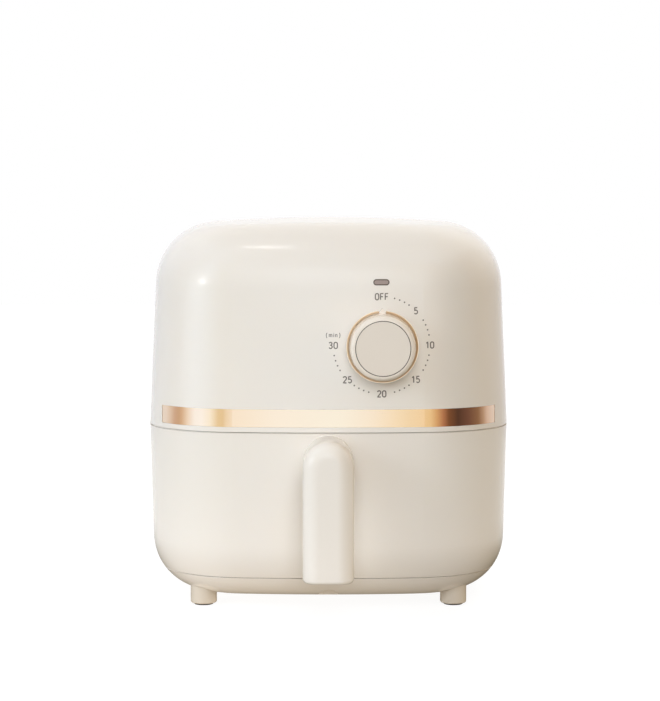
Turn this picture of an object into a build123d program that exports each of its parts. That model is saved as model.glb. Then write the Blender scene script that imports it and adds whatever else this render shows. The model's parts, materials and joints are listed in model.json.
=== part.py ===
from build123d import *

# Drawer air fryer: a cream moulded body on four feet, a pull-out drawer with a pan and a lift-out
# crisper plate, a heater and fan under a steel bell, and one mechanical timer knob.
# Millimetres. +X is to the right seen from the front, -Y is the front, +Z is up, and z = 0 is the
# surface that the foot pads stand on. The pieces are modelled round the body's own centre line and
# moved along Y at the end, so that the origin lies at the middle of the whole length, handle included.
import os
from functools import lru_cache
from math import cos, pi, radians, sin, sqrt, tan

# Casing
BODY_W = 245.0  # width at the waist, where the drawer's top edge runs
BODY_D = 250.0  # depth at the waist, without the handle
TOP_Z = 255.0  # highest point of the crown
BASE_Z = 7.6  # underside of the casing
WAIST_Z = 118.0  # widest level, middle of the seam over the drawer
SILL_Z = 22.4  # top edge of the sill under the drawer
SPLIT_Y = 42.0  # how far in front of the centre line the drawer front ends at the sides
BOW_R = 541.0  # bow of the four faces in plan
CORNER_R = 65.0
TOP_R = 42.0
BOTTOM_R = 36.0
CROWN_R = 1100.0
TOP_TAPER = 2.7  # degrees
BOTTOM_TAPER = 1.5
WALL = 2.5
SEAM = 0.8  # open joint between outer pieces
FIT = 0.3  # clearance of pieces that slide past each other
SNUG = 0.05  # clearance of pieces that are fixed to each other
RUNNING = 0.05  # radial clearance of a shaft in its bearing
LIP = 1.5  # thickness of the lip that carries the frame
LIP_H = 6.0

# Notch in the round front edge of the base
NOTCH_W = 13.5
NOTCH_H = 6.4
NOTCH_L = 29.0  # how far its back wall lies behind the front

# Feet
FOOT_R = 8.65
FOOT_IN = (40.0, 43.0)  # foot's centre inside the body's greatest width and depth
FOOT_RIM = 1.2  # rounding at the foot's lower edge
PAD_R = 6.2
PAD_H = 2.2
PAD_OUT = 1.0  # how far a pad stands below its foot

# Base plate
PLATE_IN = (42.5, 50.0)  # plate's edge inside the body's greatest width and depth
PLATE_R = 14.0
PLATE_T = 1.2
PLATE_LAP = 6.0  # how far the plate overlaps the rim of its hole
VENT_L = 34.0
VENT_W = 3.2
VENT_PITCH = 8.0
VENT_COUNT = 9
SCREW_R = 1.5
HEAD_R = 3.0
HEAD_H = 1.6
BOSS_R = 4.5
BASE_SCREW_L = 9.0

# Gold strip
BAND_Z = 121.6  # lower edge
BAND_H = 11.5
BAND_HALF = 108.6  # half of the width that it spans
BAND_DEPTH = 1.2
BAND_SINK = 0.15

# Frame between the two casings
FRAME_T = 3.0
FRAME_LEDGE = 3.0  # width of the ledge that holds the wire guard
FRAME_STEP = 1.2  # height of that ledge
REAR_POST_IN = (24.5, 37.0)  # posts' centres inside the body's greatest width and depth
TOP_POST_IN = (37.5, 40.0)
SIDE_POST_IN = 10.5
SIDE_POST_BACK = 12.0  # how far the side posts stand behind the drawer front
POST_R = 5.0
POST_SCREW_L = 16.0

# Drawer bay and drawer
SIDE_GAP = 15.5  # casing wall to bay wall
BACK_GAP = 31.5  # rear of the casing to bay wall
BAY_WALL = 2.0
BAY_FLOOR_DROP = 0.4  # bay floor under the sill's top edge
RAIL_T = 3.0
FLANGE_PLAY = 1.5  # bay wall to pan flange
FLANGE_W = 4.0
FLANGE_T = 1.2
FRONT_GAP = 12.0  # front of the casing to pan wall
PAN_R = 40.0
PAN_WALL = 1.2
PAN_FOOT_R = 12.0
PAN_LIFT = 5.6  # pan floor over bay floor
RIM_DROP = 3.0  # pan rim under the waist
DECK_DROP = 0.6  # top of the drawer's inner piece under the drawer front's edge
DECK_T = 4.6
INNER_T = 2.0
BAY_POST_IN = (72.5, 43.0)

# Crisper plate
TRAY_GAP = 4.0  # plate to pan wall
TRAY_Z = 11.0  # plate over pan floor
TRAY_T = 1.2
TRAY_LEG_W = 22.0
TRAY_LEG_IN = 14.0  # leg to pan wall
TRAY_LIP = 3.0
TRAY_EYE_R = 13.0
SLOT_L = 13.0
SLOT_W = 4.0
SLOT_RINGS = ((28.0, 8), (48.0, 14), (68.0, 20))
BUMPER_W = 16.0
BUMPER_H = 7.0

# Handle
HANDLE_W = 32.0
HANDLE_REACH = 42.0
HANDLE_TOP = 116.5
HANDLE_FOOT = 28.0
GRIP_T = 18.0
NECK_H = 28.0
NECK_R = 14.0
HANDLE_EDGE_R = 10.0  # rounding of the grip's sides and top
HANDLE_HEEL_R = 2.5
GRIP_BACK_T = 6.0
PARTING = 0.3
STEEL_T = 1.5
HANDLE_PLATE_W = 26.0
HANDLE_SCREW_R = 2.0
HANDLE_SCREW_L = 18.0
HANDLE_SCREW_DROP = 9.0  # upper screw under the handle's top
HANDLE_SCREW_PITCH = 12.0
HANDLE_PLATE_EDGE = 6.0  # lower screw to the plate's lower edge

# Timer and knob
KNOB_X = 34.3
KNOB_Z = 173.2
KNOB_R = 21.3
KNOB_FACE_R = 17.5
KNOB_H = 20.0
KNOB_DRAFT = 0.9  # how much narrower the knob is where its rounded shoulder starts
SHOULDER_R = 3.0
KNOB_WALL = 2.0
CAP_GROOVE = 0.35
CAP_T = 1.6
RING_R = 23.0
RING_W = 1.6
RING_T = 2.6
RING_LIP = 0.35  # flat rim round the ring's sloping face
RING_DISH = 1.1  # how much lower the face lies at its inner edge
POINTER_W = 4.2
POINTER_R = 24.7
POINTER_T = 2.8
SEAT_R = 19.0
SEAT_GAP = 0.5
HUB_R = 8.0
SHAFT_R = 3.0
SHAFT_FLAT = 0.8
TIMER_W = 44.0
TIMER_D = 20.0
TIMER_EAR = 52.0  # distance between the two screws
TIMER_PLATE_T = 1.5
BELL_R = 17.0
BELL_H = 6.0
BELL_T = 1.0
BELL_GAP = 1.0  # bell to timer
BELL_STUD_R = 2.0
TIMER_CORNER_R = 6.0
TIMER_EDGE = 1.0

# Indicator lamp
LAMP_X = 33.7
LAMP_Z = 214.0
LAMP_W = 10.4
LAMP_H = 4.0
LAMP_RIM = 0.7
LENS_T = 3.0
LENS_FLANGE = 2.0
LENS_SINK = 0.3
NEON_R = 2.4
NEON_L = 11.0
LEAD_R = 0.4
LEAD_L = 6.0

# Heater
GASKET_T = 1.0
CHAMBER_GAP = 30.5  # bell to the body's narrowest width or depth
CHAMBER_H = 26.0
CHAMBER_T = 1.0
CHAMBER_FLANGE = 7.0
CHAMBER_CROWN_R = 8.0
ELEMENT_R = 3.25
ELEMENT_GAP = 16.0  # bell to the centre of the outer loop
ELEMENT_PITCH = 14.0
ELEMENT_BEND = 8.0
ELEMENT_START = -76.0  # degrees
ELEMENT_SWEEP = 328.0
ELEMENT_Z = 4.2  # centre of the tube over the chamber's lower edge
BUSHING_R = 5.0
BUSHING_H = 7.0
BUSHING_LAP = 1.0  # how far a bushing overlaps the rim of its hole
PIN_STEP = 2.0  # tube's end over its bushing
PIN_R = 1.5
PIN_L = 6.0
GUARD_WIRE = 0.9
GUARD_RINGS = (16.0, 35.0, 54.0, 73.0)
GUARD_SPOKES = 8

# Fans and motor
FAN_GAP = 38.0  # bell to fan
FAN_T = 1.0
FAN_BLADE_H = 11.0
FAN_BLADES = 10
FAN_DROP = 4.0  # fan disc under the chamber's roof
FAN_HUB_R = 7.0
COOLER_GAP = 44.0  # bell's radius less the fan's
COOLER_H = 11.0
COOLER_BLADES = 7
COOLER_PITCH = 33.0  # degrees
COOLER_HUB_R = 10.0
COOLER_RISE = 6.0
COOLER_T = 1.2
COOLER_ROOT = 3.0  # how deep a blade is rooted in the hub
FAN_EYE = 0.42  # inner end of the blades, and their curve, as a share of the fan's radius
NUT_R = 5.5
NUT_H = 4.5
BRACKET_RISE = 23.0
BRACKET_T = 2.0
BRACKET_R = 30.0
BRACKET_GAP = 30.0  # bell's radius to the bracket's legs
BRACKET_LEG_W = 14.0
BRACKET_FOOT = 12.0
MOTOR_R = 27.0
MOTOR_H = 26.0
STATOR_R = 30.0
STATOR_H = 10.0
BEARING_R = 8.0
BEARING_H = 5.0
MOTOR_EDGE_R = 3.0
MOTOR_VENT_R = 3.0
MOTOR_VENT_H = 4.0
MOTOR_VENTS = 6

# Rear outlet
GRILLE_W = 84.0
GRILLE_Z = 128.0
GRILLE_H = 44.0
GRILLE_SLOT = 3.0
GRILLE_PITCH = 6.2
GRILLE_RIM = 5.0
GRILLE_TILT = 35.0
GRILLE_T = 4.0
GRILLE_SINK = 0.3
GRILLE_BAR = 3.0  # upright bar in the middle
DUCT_W = 56.0
DUCT_H = 15.0
DUCT_T = 1.2
DUCT_GAP = 2.5  # duct's end to the grille

# Switch at the back of the bay
SWITCH_X = 36.0
SWITCH_W = 20.0
SWITCH_D = 11.0
SWITCH_H = 9.0
PLUNGER_R = 1.5
PLUNGER_L = 8.0
SWITCH_EDGE = 0.8
TAB_W = 3.2  # blade terminals of the switch, timer and thermostat
TAB_T = 0.8
TAB_L = 6.0

# Small parts on the frame and the chamber
BLOCK_IN = (66.5, 22.0)  # its centre inside the body's greatest width and depth
BLOCK_W = 28.0
BLOCK_D = 11.0
BLOCK_H = 11.0
BLOCK_EDGE_R = 1.5
BLOCK_GROOVE = 1.2
CLAMP_WIRE_R = 1.8
CLAMP_SCREW_R = 2.4
POLES = 3
SENSOR_R = 8.0
SENSOR_H = 5.0
SENSOR_GAP = 19.0  # bell's radius to the thermostat and the fuse
FUSE_R = 2.2
FUSE_L = 16.0
FUSE_LEAD_R = 0.5
CLIP_W = 6.0
CLIP_RIM = 1.0
CLIP_TONGUE = 4.0
SENSOR_ANGLE = 150.0
FUSE_ANGLE = 30.0
INLET_X = -45.0
INLET_Z = 46.0
INLET_R = 8.0
INLET_BORE = 3.6
INLET_L = 12.0

# Levels and lines that follow from the sizes above
BODY_Y = HANDLE_REACH / 2  # body's centre line behind the origin
FOOT_SPOT = (BODY_W / 2 - FOOT_IN[0], BODY_D / 2 - FOOT_IN[1])
REAR_POST = (BODY_W / 2 - REAR_POST_IN[0], BODY_D / 2 - REAR_POST_IN[1])
TOP_POST = (BODY_W / 2 - TOP_POST_IN[0], BODY_D / 2 - TOP_POST_IN[1])
SIDE_POST = (BODY_W / 2 - SIDE_POST_IN, SPLIT_Y - SIDE_POST_BACK)
BAY_POST = (BODY_W / 2 - BAY_POST_IN[0], BODY_D / 2 - BAY_POST_IN[1])
BLOCK_X = BLOCK_IN[0] - BODY_W / 2
BLOCK_Y = BODY_D / 2 - BLOCK_IN[1]
PLATE_W = BODY_W - 2 * PLATE_IN[0]
PLATE_D = BODY_D - 2 * PLATE_IN[1]
FRAME_Z0 = WAIST_Z + SEAM / 2
FRAME_Z1 = FRAME_Z0 + FRAME_T
DRAWER_Z1 = WAIST_Z - SEAM / 2
DRAWER_Z0 = SILL_Z + SEAM
DECK_Z = DRAWER_Z1 - DECK_DROP
RIM_Z = WAIST_Z - RIM_DROP
FLANGE_Z = RIM_Z - FLANGE_T
BAY_FLOOR_Z = SILL_Z - BAY_FLOOR_DROP
PAN_Z = BAY_FLOOR_Z + PAN_LIFT
TRAY_LEVEL = PAN_Z + PAN_WALL + TRAY_Z
DRAWER_BACK = -SPLIT_Y - SEAM
BAY_X = BODY_W / 2 - WALL - SIDE_GAP - BAY_WALL  # inner face of the bay wall
BAY_Y = BODY_D / 2 - BACK_GAP - BAY_WALL
PAN_X = BAY_X - FLANGE_PLAY - FLANGE_W
PAN_BACK = BAY_Y - FLANGE_PLAY - FLANGE_W
PAN_FRONT = FRONT_GAP - BODY_D / 2
CHAMBER_R = min(BODY_W, BODY_D) / 2 - CHAMBER_GAP
ELEMENT_OUTER = CHAMBER_R - ELEMENT_GAP
FAN_R = CHAMBER_R - FAN_GAP
COOLER_R = CHAMBER_R - COOLER_GAP
BRACKET_LEG_R = CHAMBER_R - BRACKET_GAP
SENSOR_RADIUS = CHAMBER_R - SENSOR_GAP
CHAMBER_Z0 = FRAME_Z1 + GASKET_T
CHAMBER_Z1 = CHAMBER_Z0 + CHAMBER_H
BRACKET_Z = CHAMBER_Z1 + BRACKET_RISE
MOTOR_Z = BRACKET_Z + BRACKET_T
HANDLE_FRONT = -BODY_D / 2 - HANDLE_REACH
SCREW_ANGLES = (45, 135, 225, 315)
BRACKET_ANGLES = (90, 210, 330)
FAR = BODY_W + BODY_D + TOP_Z  # longer than anything here


# Plain solids placed by their limits

def box(x0, x1, y0, y1, z0, z1):
    return Pos((x0 + x1) / 2, (y0 + y1) / 2, (z0 + z1) / 2) * Box(x1 - x0, y1 - y0, z1 - z0)


def level(z0, z1, y0=-FAR, y1=FAR):
    """Everything between two heights, and between two planes across the depth."""
    return box(-FAR, FAR, y0, y1, z0, z1)


def post(x, y, z0, z1, r):
    return Pos(x, y, (z0 + z1) / 2) * Cylinder(r, z1 - z0)


def rod_y(x, z, y0, y1, r):
    return Pos(x, (y0 + y1) / 2, z) * Rot(90, 0, 0) * Cylinder(r, y1 - y0)


def prism_y(sketch, x, z, y0, y1):
    """A flat outline, seen from the front, run from y0 back to y1."""
    return Pos(x, y1, z) * Rot(90, 0, 0) * extrude(sketch, y1 - y0)


def slab(half_w, y0, y1, r, z0, z1):
    """A round-cornered plate that is centred on X."""
    return Pos(0, (y0 + y1) / 2, z0) * extrude(RectangleRounded(2 * half_w, y1 - y0, r), z1 - z0)


def four(spot):
    """The four places that mirror one (x, y)."""
    return [(sx * spot[0], sy * spot[1]) for sx in (-1, 1) for sy in (-1, 1)]


def polar(radius, angle):
    return radius * cos(radians(angle)), radius * sin(radians(angle))


def together(pieces):
    """Separate solids as one sub-part."""
    return Compound([solid for piece in pieces for solid in piece.solids()])


# The casing's form

def plan(inset):
    """A square with four bowed sides and round corners, drawn in from the outside by inset."""
    bow = BOW_R - inset
    dx = BOW_R - BODY_W / 2
    dy = BOW_R - BODY_D / 2
    outline = Pos(dx, 0) * Circle(bow) & Pos(-dx, 0) * Circle(bow)
    outline = outline & Pos(0, dy) * Circle(bow) & Pos(0, -dy) * Circle(bow)
    return fillet(outline.vertices(), CORNER_R - inset)


@lru_cache(maxsize=None)
def form_top(inset=0.0):
    """The casing over the waist, tapered, with a slightly domed top and wide shoulders."""
    rise = TOP_Z - WAIST_Z
    body = extrude(Pos(0, 0, WAIST_Z) * plan(inset), rise + WALL, taper=TOP_TAPER)
    body = body & Pos(0, 0, TOP_Z - inset - CROWN_R) * Sphere(CROWN_R)
    roof = body.faces().sort_by(Axis.Z)[-1]
    return fillet(roof.edges(), TOP_R - inset)


@lru_cache(maxsize=None)
def form_base(inset=0.0):
    """The casing under the waist, tapered the other way, with a round lower edge."""
    drop = WAIST_Z - BASE_Z - inset
    body = extrude(Pos(0, 0, WAIST_Z) * plan(inset), -drop, taper=BOTTOM_TAPER)
    floor = body.faces().sort_by(Axis.Z)[0]
    return fillet(floor.edges(), BOTTOM_R - inset)


@lru_cache(maxsize=None)
def form(inset=0.0):
    return form_top(inset) + form_base(inset)


def front_y(x, z):
    """Outer surface of the upper casing's front."""
    return BOW_R - sqrt(BOW_R**2 - x**2) - BODY_D / 2 + (z - WAIST_Z) * tan(radians(TOP_TAPER))


def rear_y(x, z):
    return -front_y(x, z)


def pan_plan(grow, z0, z1):
    """The pan's outline, grown outwards."""
    return slab(PAN_X + grow, PAN_FRONT - grow, PAN_BACK + grow, PAN_R + grow, z0, z1)


# The knob's back lies just clear of the bowed front, at the point that comes furthest forward.
KNOB_BACK = min(front_y(KNOB_X + x, KNOB_Z + z)
                for x, z in (polar(RING_R, step * 5) for step in range(72))) - SEAT_GAP
TIMER_Y = front_y(KNOB_X + TIMER_EAR / 2 + BOSS_R, KNOB_Z + TIMER_W / 2) + WALL + SEAT_GAP
TIMER_BACK = TIMER_Y + TIMER_PLATE_T + TIMER_D
LAMP_Y = front_y(LAMP_X, LAMP_Z)


# Screws

def screw(length, r=SCREW_R, head_r=HEAD_R, head_h=HEAD_H):
    """A pan-head screw that points down from z = 0, with its head above."""
    head = Pos(0, 0, head_h / 2) * Cylinder(head_r, head_h)
    head = chamfer(head.edges().sort_by(Axis.Z)[-1], head_h / 3)
    cross = Pos(0, 0, head_h) * (Box(head_r, head_r / 4, head_h) + Box(head_r / 4, head_r, head_h))
    shank = Pos(0, 0, -length / 2) * Cylinder(r, length)
    return head + shank - cross


# Casing

def top_housing():
    """Upper casing: a shell with the groove for the strip, the timer's seat and the rear outlet."""
    shell = (form_top() & level(FRAME_Z0, FAR)) - form_top(WALL)
    groove = box(-BAND_HALF, BAND_HALF, -BODY_D, 0, BAND_Z, BAND_Z + BAND_H)
    shell -= groove - form_top(BAND_DEPTH)
    seat = rod_y(KNOB_X, KNOB_Z, KNOB_BACK + SEAT_GAP, TIMER_Y, SEAT_R)
    well = rod_y(KNOB_X, KNOB_Z, KNOB_BACK + SEAT_GAP + WALL, TIMER_Y, SEAT_R - WALL)
    hub = rod_y(KNOB_X, KNOB_Z, KNOB_BACK + SEAT_GAP, TIMER_Y, HUB_R)
    shell += seat - well + hub
    for x in timer_ears():
        shell += rod_y(x, KNOB_Z, front_y(x, KNOB_Z) + WALL / 2, TIMER_Y, BOSS_R)
        shell -= rod_y(x, KNOB_Z, front_y(x, KNOB_Z) + WALL, TIMER_Y, SCREW_R + SNUG)
    shell -= rod_y(KNOB_X, KNOB_Z, KNOB_BACK, TIMER_Y, timer_neck_r() + FIT)
    shell -= lamp_prism(0)
    shell -= grille_box(0)
    for x, y in four(TOP_POST):
        shell += post(x, y, FRAME_Z1, TOP_Z, POST_R) & form_top(WALL / 2)
        shell -= post(x, y, FRAME_Z1, FRAME_Z1 + POST_SCREW_L, SCREW_R + SNUG)
    return shell


def trim_band():
    """Thin strip that follows the casing's bow and ends square, seen from the front."""
    span = box(SNUG - BAND_HALF, BAND_HALF - SNUG, -BODY_D, 0, BAND_Z + SNUG, BAND_Z + BAND_H - SNUG)
    return (form_top(BAND_SINK) & span) - form_top(BAND_DEPTH - SNUG)


def lower_housing():
    """Lower casing: sides, back and the sill under the drawer, with the posts that carry the frame."""
    shell = (form_base() & level(BASE_Z, DRAWER_Z1)) - form_base(WALL)
    shell -= level(SILL_Z, FAR, -FAR, -SPLIT_Y)
    lip = form(WALL / 2) & level(DRAWER_Z1 - LIP_H, FRAME_Z0, -SPLIT_Y + BAY_WALL + FIT, FAR)
    shell += lip - form(WALL + LIP)
    for x, y in lower_posts():
        shell += post(x, y, BASE_Z, FRAME_Z0, POST_R) & form(WALL / 2)
        shell -= post(x, y, FRAME_Z0 - POST_SCREW_L, FRAME_Z0, SCREW_R + SNUG)
    for x, y in four(BAY_POST):
        shell += post(x, y, BASE_Z + WALL / 2, BAY_FLOOR_Z - BAY_WALL, POST_R)
    for x, y in base_screw_spots():
        shell += post(x, y, BASE_Z + PLATE_T, BAY_FLOOR_Z - BAY_WALL, BOSS_R)
    shell -= slab(PLATE_W / 2 + FIT, -PLATE_D / 2 - FIT, PLATE_D / 2 + FIT, PLATE_R, 0, BASE_Z + PLATE_T)
    hole = slab(PLATE_W / 2 - PLATE_LAP, PLATE_LAP - PLATE_D / 2, PLATE_D / 2 - PLATE_LAP,
                PLATE_R - PLATE_LAP / 2, 0, BASE_Z + 2 * WALL)
    for x, y in base_screw_spots():
        hole -= post(x, y, 0, BASE_Z + 2 * WALL, 2 * BOSS_R)
    for x, y in four(BAY_POST):
        hole -= post(x, y, 0, BASE_Z + 2 * WALL, POST_R)
    shell -= hole
    for x, y in base_screw_spots():
        shell -= post(x, y, BASE_Z, BASE_Z + PLATE_T + BASE_SCREW_L, SCREW_R + SNUG)
    shell -= rod_y(INLET_X, INLET_Z, 0, BODY_D, INLET_R)
    shell += notch(WALL) & form_base(WALL / 2)
    return shell - notch(0)


def notch(grow):
    """Arched finger notch under the drawer, cut into the round front edge of the base."""
    arch = Ellipse(NOTCH_W / 2 + grow, NOTCH_H + grow)
    return prism_y(arch, 0, BASE_Z, -BODY_D, NOTCH_L - BODY_D / 2 + grow)


def base_screw_spots():
    return four((PLATE_W / 2 - 1.5 * PLATE_LAP, PLATE_D / 2 - 1.5 * PLATE_LAP))


def lower_posts():
    spots = [(sx * REAR_POST[0], REAR_POST[1]) for sx in (-1, 1)]
    return spots + [(sx * SIDE_POST[0], -SIDE_POST[1]) for sx in (-1, 1)]


def base_plate():
    """Cover of the opening in the underside, with two rows of inlet slots."""
    plate = slab(PLATE_W / 2, -PLATE_D / 2, PLATE_D / 2, PLATE_R, BASE_Z + SNUG, BASE_Z + PLATE_T)
    first = -VENT_PITCH * (VENT_COUNT - 1) / 2
    for side in (-1, 1):
        for index in range(VENT_COUNT):
            slot = extrude(SlotOverall(VENT_L, VENT_W), 2 * PLATE_T)
            plate -= Pos(side * VENT_L * 0.75, first + index * VENT_PITCH, BASE_Z - PLATE_T / 2) * slot
    for x, y in base_screw_spots():
        plate -= post(x, y, 0, BASE_Z + PLATE_T, SCREW_R + SNUG)
    return plate


def base_screws():
    turned = Rot(180, 0, 0) * screw(BASE_SCREW_L)
    return together(Pos(x, y, BASE_Z + SNUG) * turned for x, y in base_screw_spots())


def foot_solid():
    foot = Pos(0, 0, (PAD_OUT + BASE_Z + BOTTOM_R) / 2) * Cylinder(FOOT_R, BASE_Z + BOTTOM_R - PAD_OUT)
    foot = fillet(foot.edges().sort_by(Axis.Z)[0], FOOT_RIM)
    return foot - Pos(0, 0, PAD_H / 2) * Cylinder(PAD_R + SNUG, PAD_H)


def feet():
    """Four moulded feet that meet the round lower edge of the casing."""
    under = level(0, WAIST_Z) - form_base()
    return together((Pos(x, y, 0) * foot_solid()) & under & level(0, BASE_Z + BOTTOM_R / 2)
                    for x, y in four(FOOT_SPOT))


def foot_pads():
    return together(post(x, y, 0, PAD_H, PAD_R) for x, y in four(FOOT_SPOT))


def cord_inlet():
    """Bush in the rear wall that the mains cord would pass through."""
    wall_y = rear_y(INLET_X, WAIST_Z) - (WAIST_Z - INLET_Z) * tan(radians(BOTTOM_TAPER))
    sleeve = rod_y(INLET_X, INLET_Z, wall_y - INLET_L, wall_y + WALL / 2, INLET_R - SNUG)
    collar = rod_y(INLET_X, INLET_Z, wall_y - INLET_L, wall_y, INLET_R + WALL)
    bush = sleeve + (collar & form_base(WALL + SNUG))
    mouth = bush.edges().filter_by(GeomType.CIRCLE).sort_by(Axis.Y)[-1]
    return fillet(mouth, WALL / 3) - rod_y(INLET_X, INLET_Z, 0, BODY_D, INLET_BORE)


# Frame and bay

def mid_frame():
    """Plate between the two casings that carries the heater's bell over the drawer."""
    outline = extrude(Pos(0, 0, FRAME_Z0) * plan(WALL + FIT), FRAME_T, taper=TOP_TAPER)
    outline -= post(0, 0, 0, TOP_Z, CHAMBER_R - FRAME_LEDGE)
    outline -= post(0, 0, FRAME_Z0 + FRAME_STEP, TOP_Z, CHAMBER_R + FRAME_LEDGE / 2)
    for x, y in lower_posts():
        outline -= post(x, y, 0, TOP_Z, SCREW_R + SNUG)
    for x, y in four(TOP_POST):
        outline -= post(x, y, 0, TOP_Z, SCREW_R + SNUG)
        outline -= post(x, y, 0, FRAME_Z0 + HEAD_H, HEAD_R + FIT)
    for x, y in chamber_screw_spots():
        outline -= post(x, y, 0, TOP_Z, SCREW_R + SNUG)
    return outline


def frame_screws():
    """Screws down into the lower casing's posts and up into the upper casing's posts."""
    down = [Pos(x, y, FRAME_Z1) * screw(POST_SCREW_L) for x, y in lower_posts()]
    turned = Rot(180, 0, 0) * screw(POST_SCREW_L)
    up = [Pos(x, y, FRAME_Z0 + HEAD_H) * turned for x, y in four(TOP_POST)]
    return together(down + up)


def drawer_bay():
    """Liner that the drawer slides into: floor, sides, back, front flanges and two rails."""
    low = BAY_FLOOR_Z - BAY_WALL
    room = pan_plan(FLANGE_W + FLANGE_PLAY, BAY_FLOOR_Z, FAR)
    liner = pan_plan(FLANGE_W + FLANGE_PLAY + BAY_WALL, low, FRAME_Z0)
    liner = (liner & level(low, FRAME_Z0, -SPLIT_Y, FAR)) - room
    tray = form_base(WALL + FIT) & level(low, BAY_FLOOR_Z, -FAR, -SPLIT_Y + BAY_WALL)
    cheeks = form_base(WALL + FIT) & level(low, DRAWER_Z1, -SPLIT_Y, -SPLIT_Y + BAY_WALL)
    cheeks -= pan_plan(FLANGE_W + FLANGE_PLAY, 0, FAR)
    rails = room & level(FLANGE_Z - FIT - RAIL_T, FLANGE_Z - FIT, -SPLIT_Y, PAN_BACK - PAN_R)
    rails -= pan_plan(FIT + FLANGE_PLAY, 0, FAR)
    rails &= level(0, FAR, -SPLIT_Y, PAN_BACK - PAN_R)
    bay = liner + tray + cheeks + rails
    return bay - rod_y(SWITCH_X, switch_z(), 0, BODY_D, PLUNGER_R + FIT)


def switch_z():
    return (FLANGE_Z + RIM_Z) / 2


def safety_switch():
    """Interlock switch behind the bay, worked by the pan's flange."""
    y0 = BAY_Y + BAY_WALL
    z = switch_z()
    body = box(SWITCH_X - SWITCH_W / 2, SWITCH_X + SWITCH_W / 2, y0, y0 + SWITCH_D,
               z - SWITCH_H * 0.7, z + SWITCH_H * 0.3)
    body = chamfer(body.edges().filter_by(Axis.Y), SWITCH_EDGE)
    low = z - SWITCH_H / 3
    for side in (-1, 0, 1):
        x = SWITCH_X + side * SWITCH_W / 3
        body += box(x - TAB_W / 2, x + TAB_W / 2, y0 + SWITCH_D, y0 + SWITCH_D + TAB_L, low, low + TAB_T)
    return body - rod_y(SWITCH_X, z, y0, y0 + SWITCH_D - WALL, PLUNGER_R + RUNNING)


def switch_plunger():
    y0 = PAN_BACK + FLANGE_W + FIT
    return fillet(rod_y(SWITCH_X, switch_z(), y0, y0 + PLUNGER_L, PLUNGER_R)
                  .edges().sort_by(Axis.Y)[0], PLUNGER_R / 2)


def terminal_block():
    """Block with three screw terminals where the supply is joined to the wiring."""
    block = box(BLOCK_X - BLOCK_W / 2, BLOCK_X + BLOCK_W / 2, BLOCK_Y - BLOCK_D / 2, BLOCK_Y + BLOCK_D / 2,
                FRAME_Z1, FRAME_Z1 + BLOCK_H)
    block = fillet(block.edges().filter_by(Axis.Z), BLOCK_EDGE_R)
    pole = BLOCK_W / POLES
    for index in range(POLES):
        x = BLOCK_X + (index + 0.5) * pole - BLOCK_W / 2
        block -= rod_y(x, FRAME_Z1 + BLOCK_H / 3, 0, BODY_D, CLAMP_WIRE_R)
        block -= post(x, BLOCK_Y, FRAME_Z1 + BLOCK_H * 2 / 3, TOP_Z, CLAMP_SCREW_R)
    for index in range(1, POLES):
        x = BLOCK_X + index * pole - BLOCK_W / 2
        block -= box(x - BLOCK_GROOVE / 2, x + BLOCK_GROOVE / 2, 0, BODY_D, FRAME_Z1 + BLOCK_H / 2, TOP_Z)
    return block


# Drawer

def drawer_front():
    """Outer front of the drawer, round both front corners, with a thin lip into both seams."""
    keep = level(DRAWER_Z0, DRAWER_Z1, -FAR, DRAWER_BACK)
    shell = (form_base() & keep) - form_base(WALL)
    lips = level(SILL_Z + SEAM / 2, WAIST_Z, -FAR, DRAWER_BACK) & (form_base(WALL / 2) - form_base(WALL))
    shell += lips
    for z in handle_screw_levels():
        shell -= rod_y(0, z, -BODY_D, 0, HANDLE_SCREW_R + SNUG)
    return shell


def drawer_inner():
    """Inner moulding: a hollow collar round the front half of the pan, with the ledge for its flange."""
    z0 = DRAWER_Z0 + DECK_DROP
    collar = form_base(WALL + SNUG) & level(z0, DECK_Z, -FAR, DRAWER_BACK)
    hollow = form_base(WALL) & level(z0 + INNER_T, DECK_Z - DECK_T, -FAR, DRAWER_BACK - INNER_T)
    collar -= hollow - pan_plan(SNUG + INNER_T, 0, FAR)
    collar -= pan_plan(SNUG, 0, FAR)
    collar -= pan_plan(FLANGE_W + SNUG, FLANGE_Z, FAR)
    return collar


def drawer_pan():
    """Deep pan with round corners and a flat flange that rides on the rails."""
    outer = pan_plan(0, PAN_Z, RIM_Z)
    outer = fillet(outer.edges().group_by(Axis.Z)[0], PAN_FOOT_R)
    inner = pan_plan(-PAN_WALL, PAN_Z + PAN_WALL, RIM_Z)
    inner = fillet(inner.edges().group_by(Axis.Z)[0], PAN_FOOT_R - PAN_WALL)
    flange = pan_plan(FLANGE_W, FLANGE_Z, RIM_Z)
    return outer + flange - inner


def crisper_plate():
    """Slotted plate with a low turned-up rim, a finger hole and four bent legs."""
    grow = -PAN_WALL - TRAY_GAP
    plate = pan_plan(grow, TRAY_LEVEL, TRAY_LEVEL + TRAY_LIP)
    plate -= pan_plan(grow - TRAY_T, TRAY_LEVEL + TRAY_T, FAR)
    cx, cy = 0, (PAN_FRONT + PAN_BACK) / 2
    cut = post(cx, cy, 0, FAR, TRAY_EYE_R)
    for radius, count in SLOT_RINGS:
        for index in range(count):
            turn = 360 / count * index
            slot = extrude(SlotOverall(SLOT_L, SLOT_W), 4 * TRAY_T)
            cut += Pos(cx, cy, TRAY_LEVEL - TRAY_T) * Rot(0, 0, turn) * Pos(radius, 0, 0) * slot
    plate -= cut
    for place, turn, reach in tray_sides():
        leg = box(-TRAY_LEG_W / 2, TRAY_LEG_W / 2, reach - TRAY_LEG_IN - TRAY_T, reach - TRAY_LEG_IN,
                  PAN_Z + PAN_WALL + FIT, TRAY_LEVEL + TRAY_T)
        plate += place * Rot(0, 0, turn) * leg
    return plate


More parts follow.
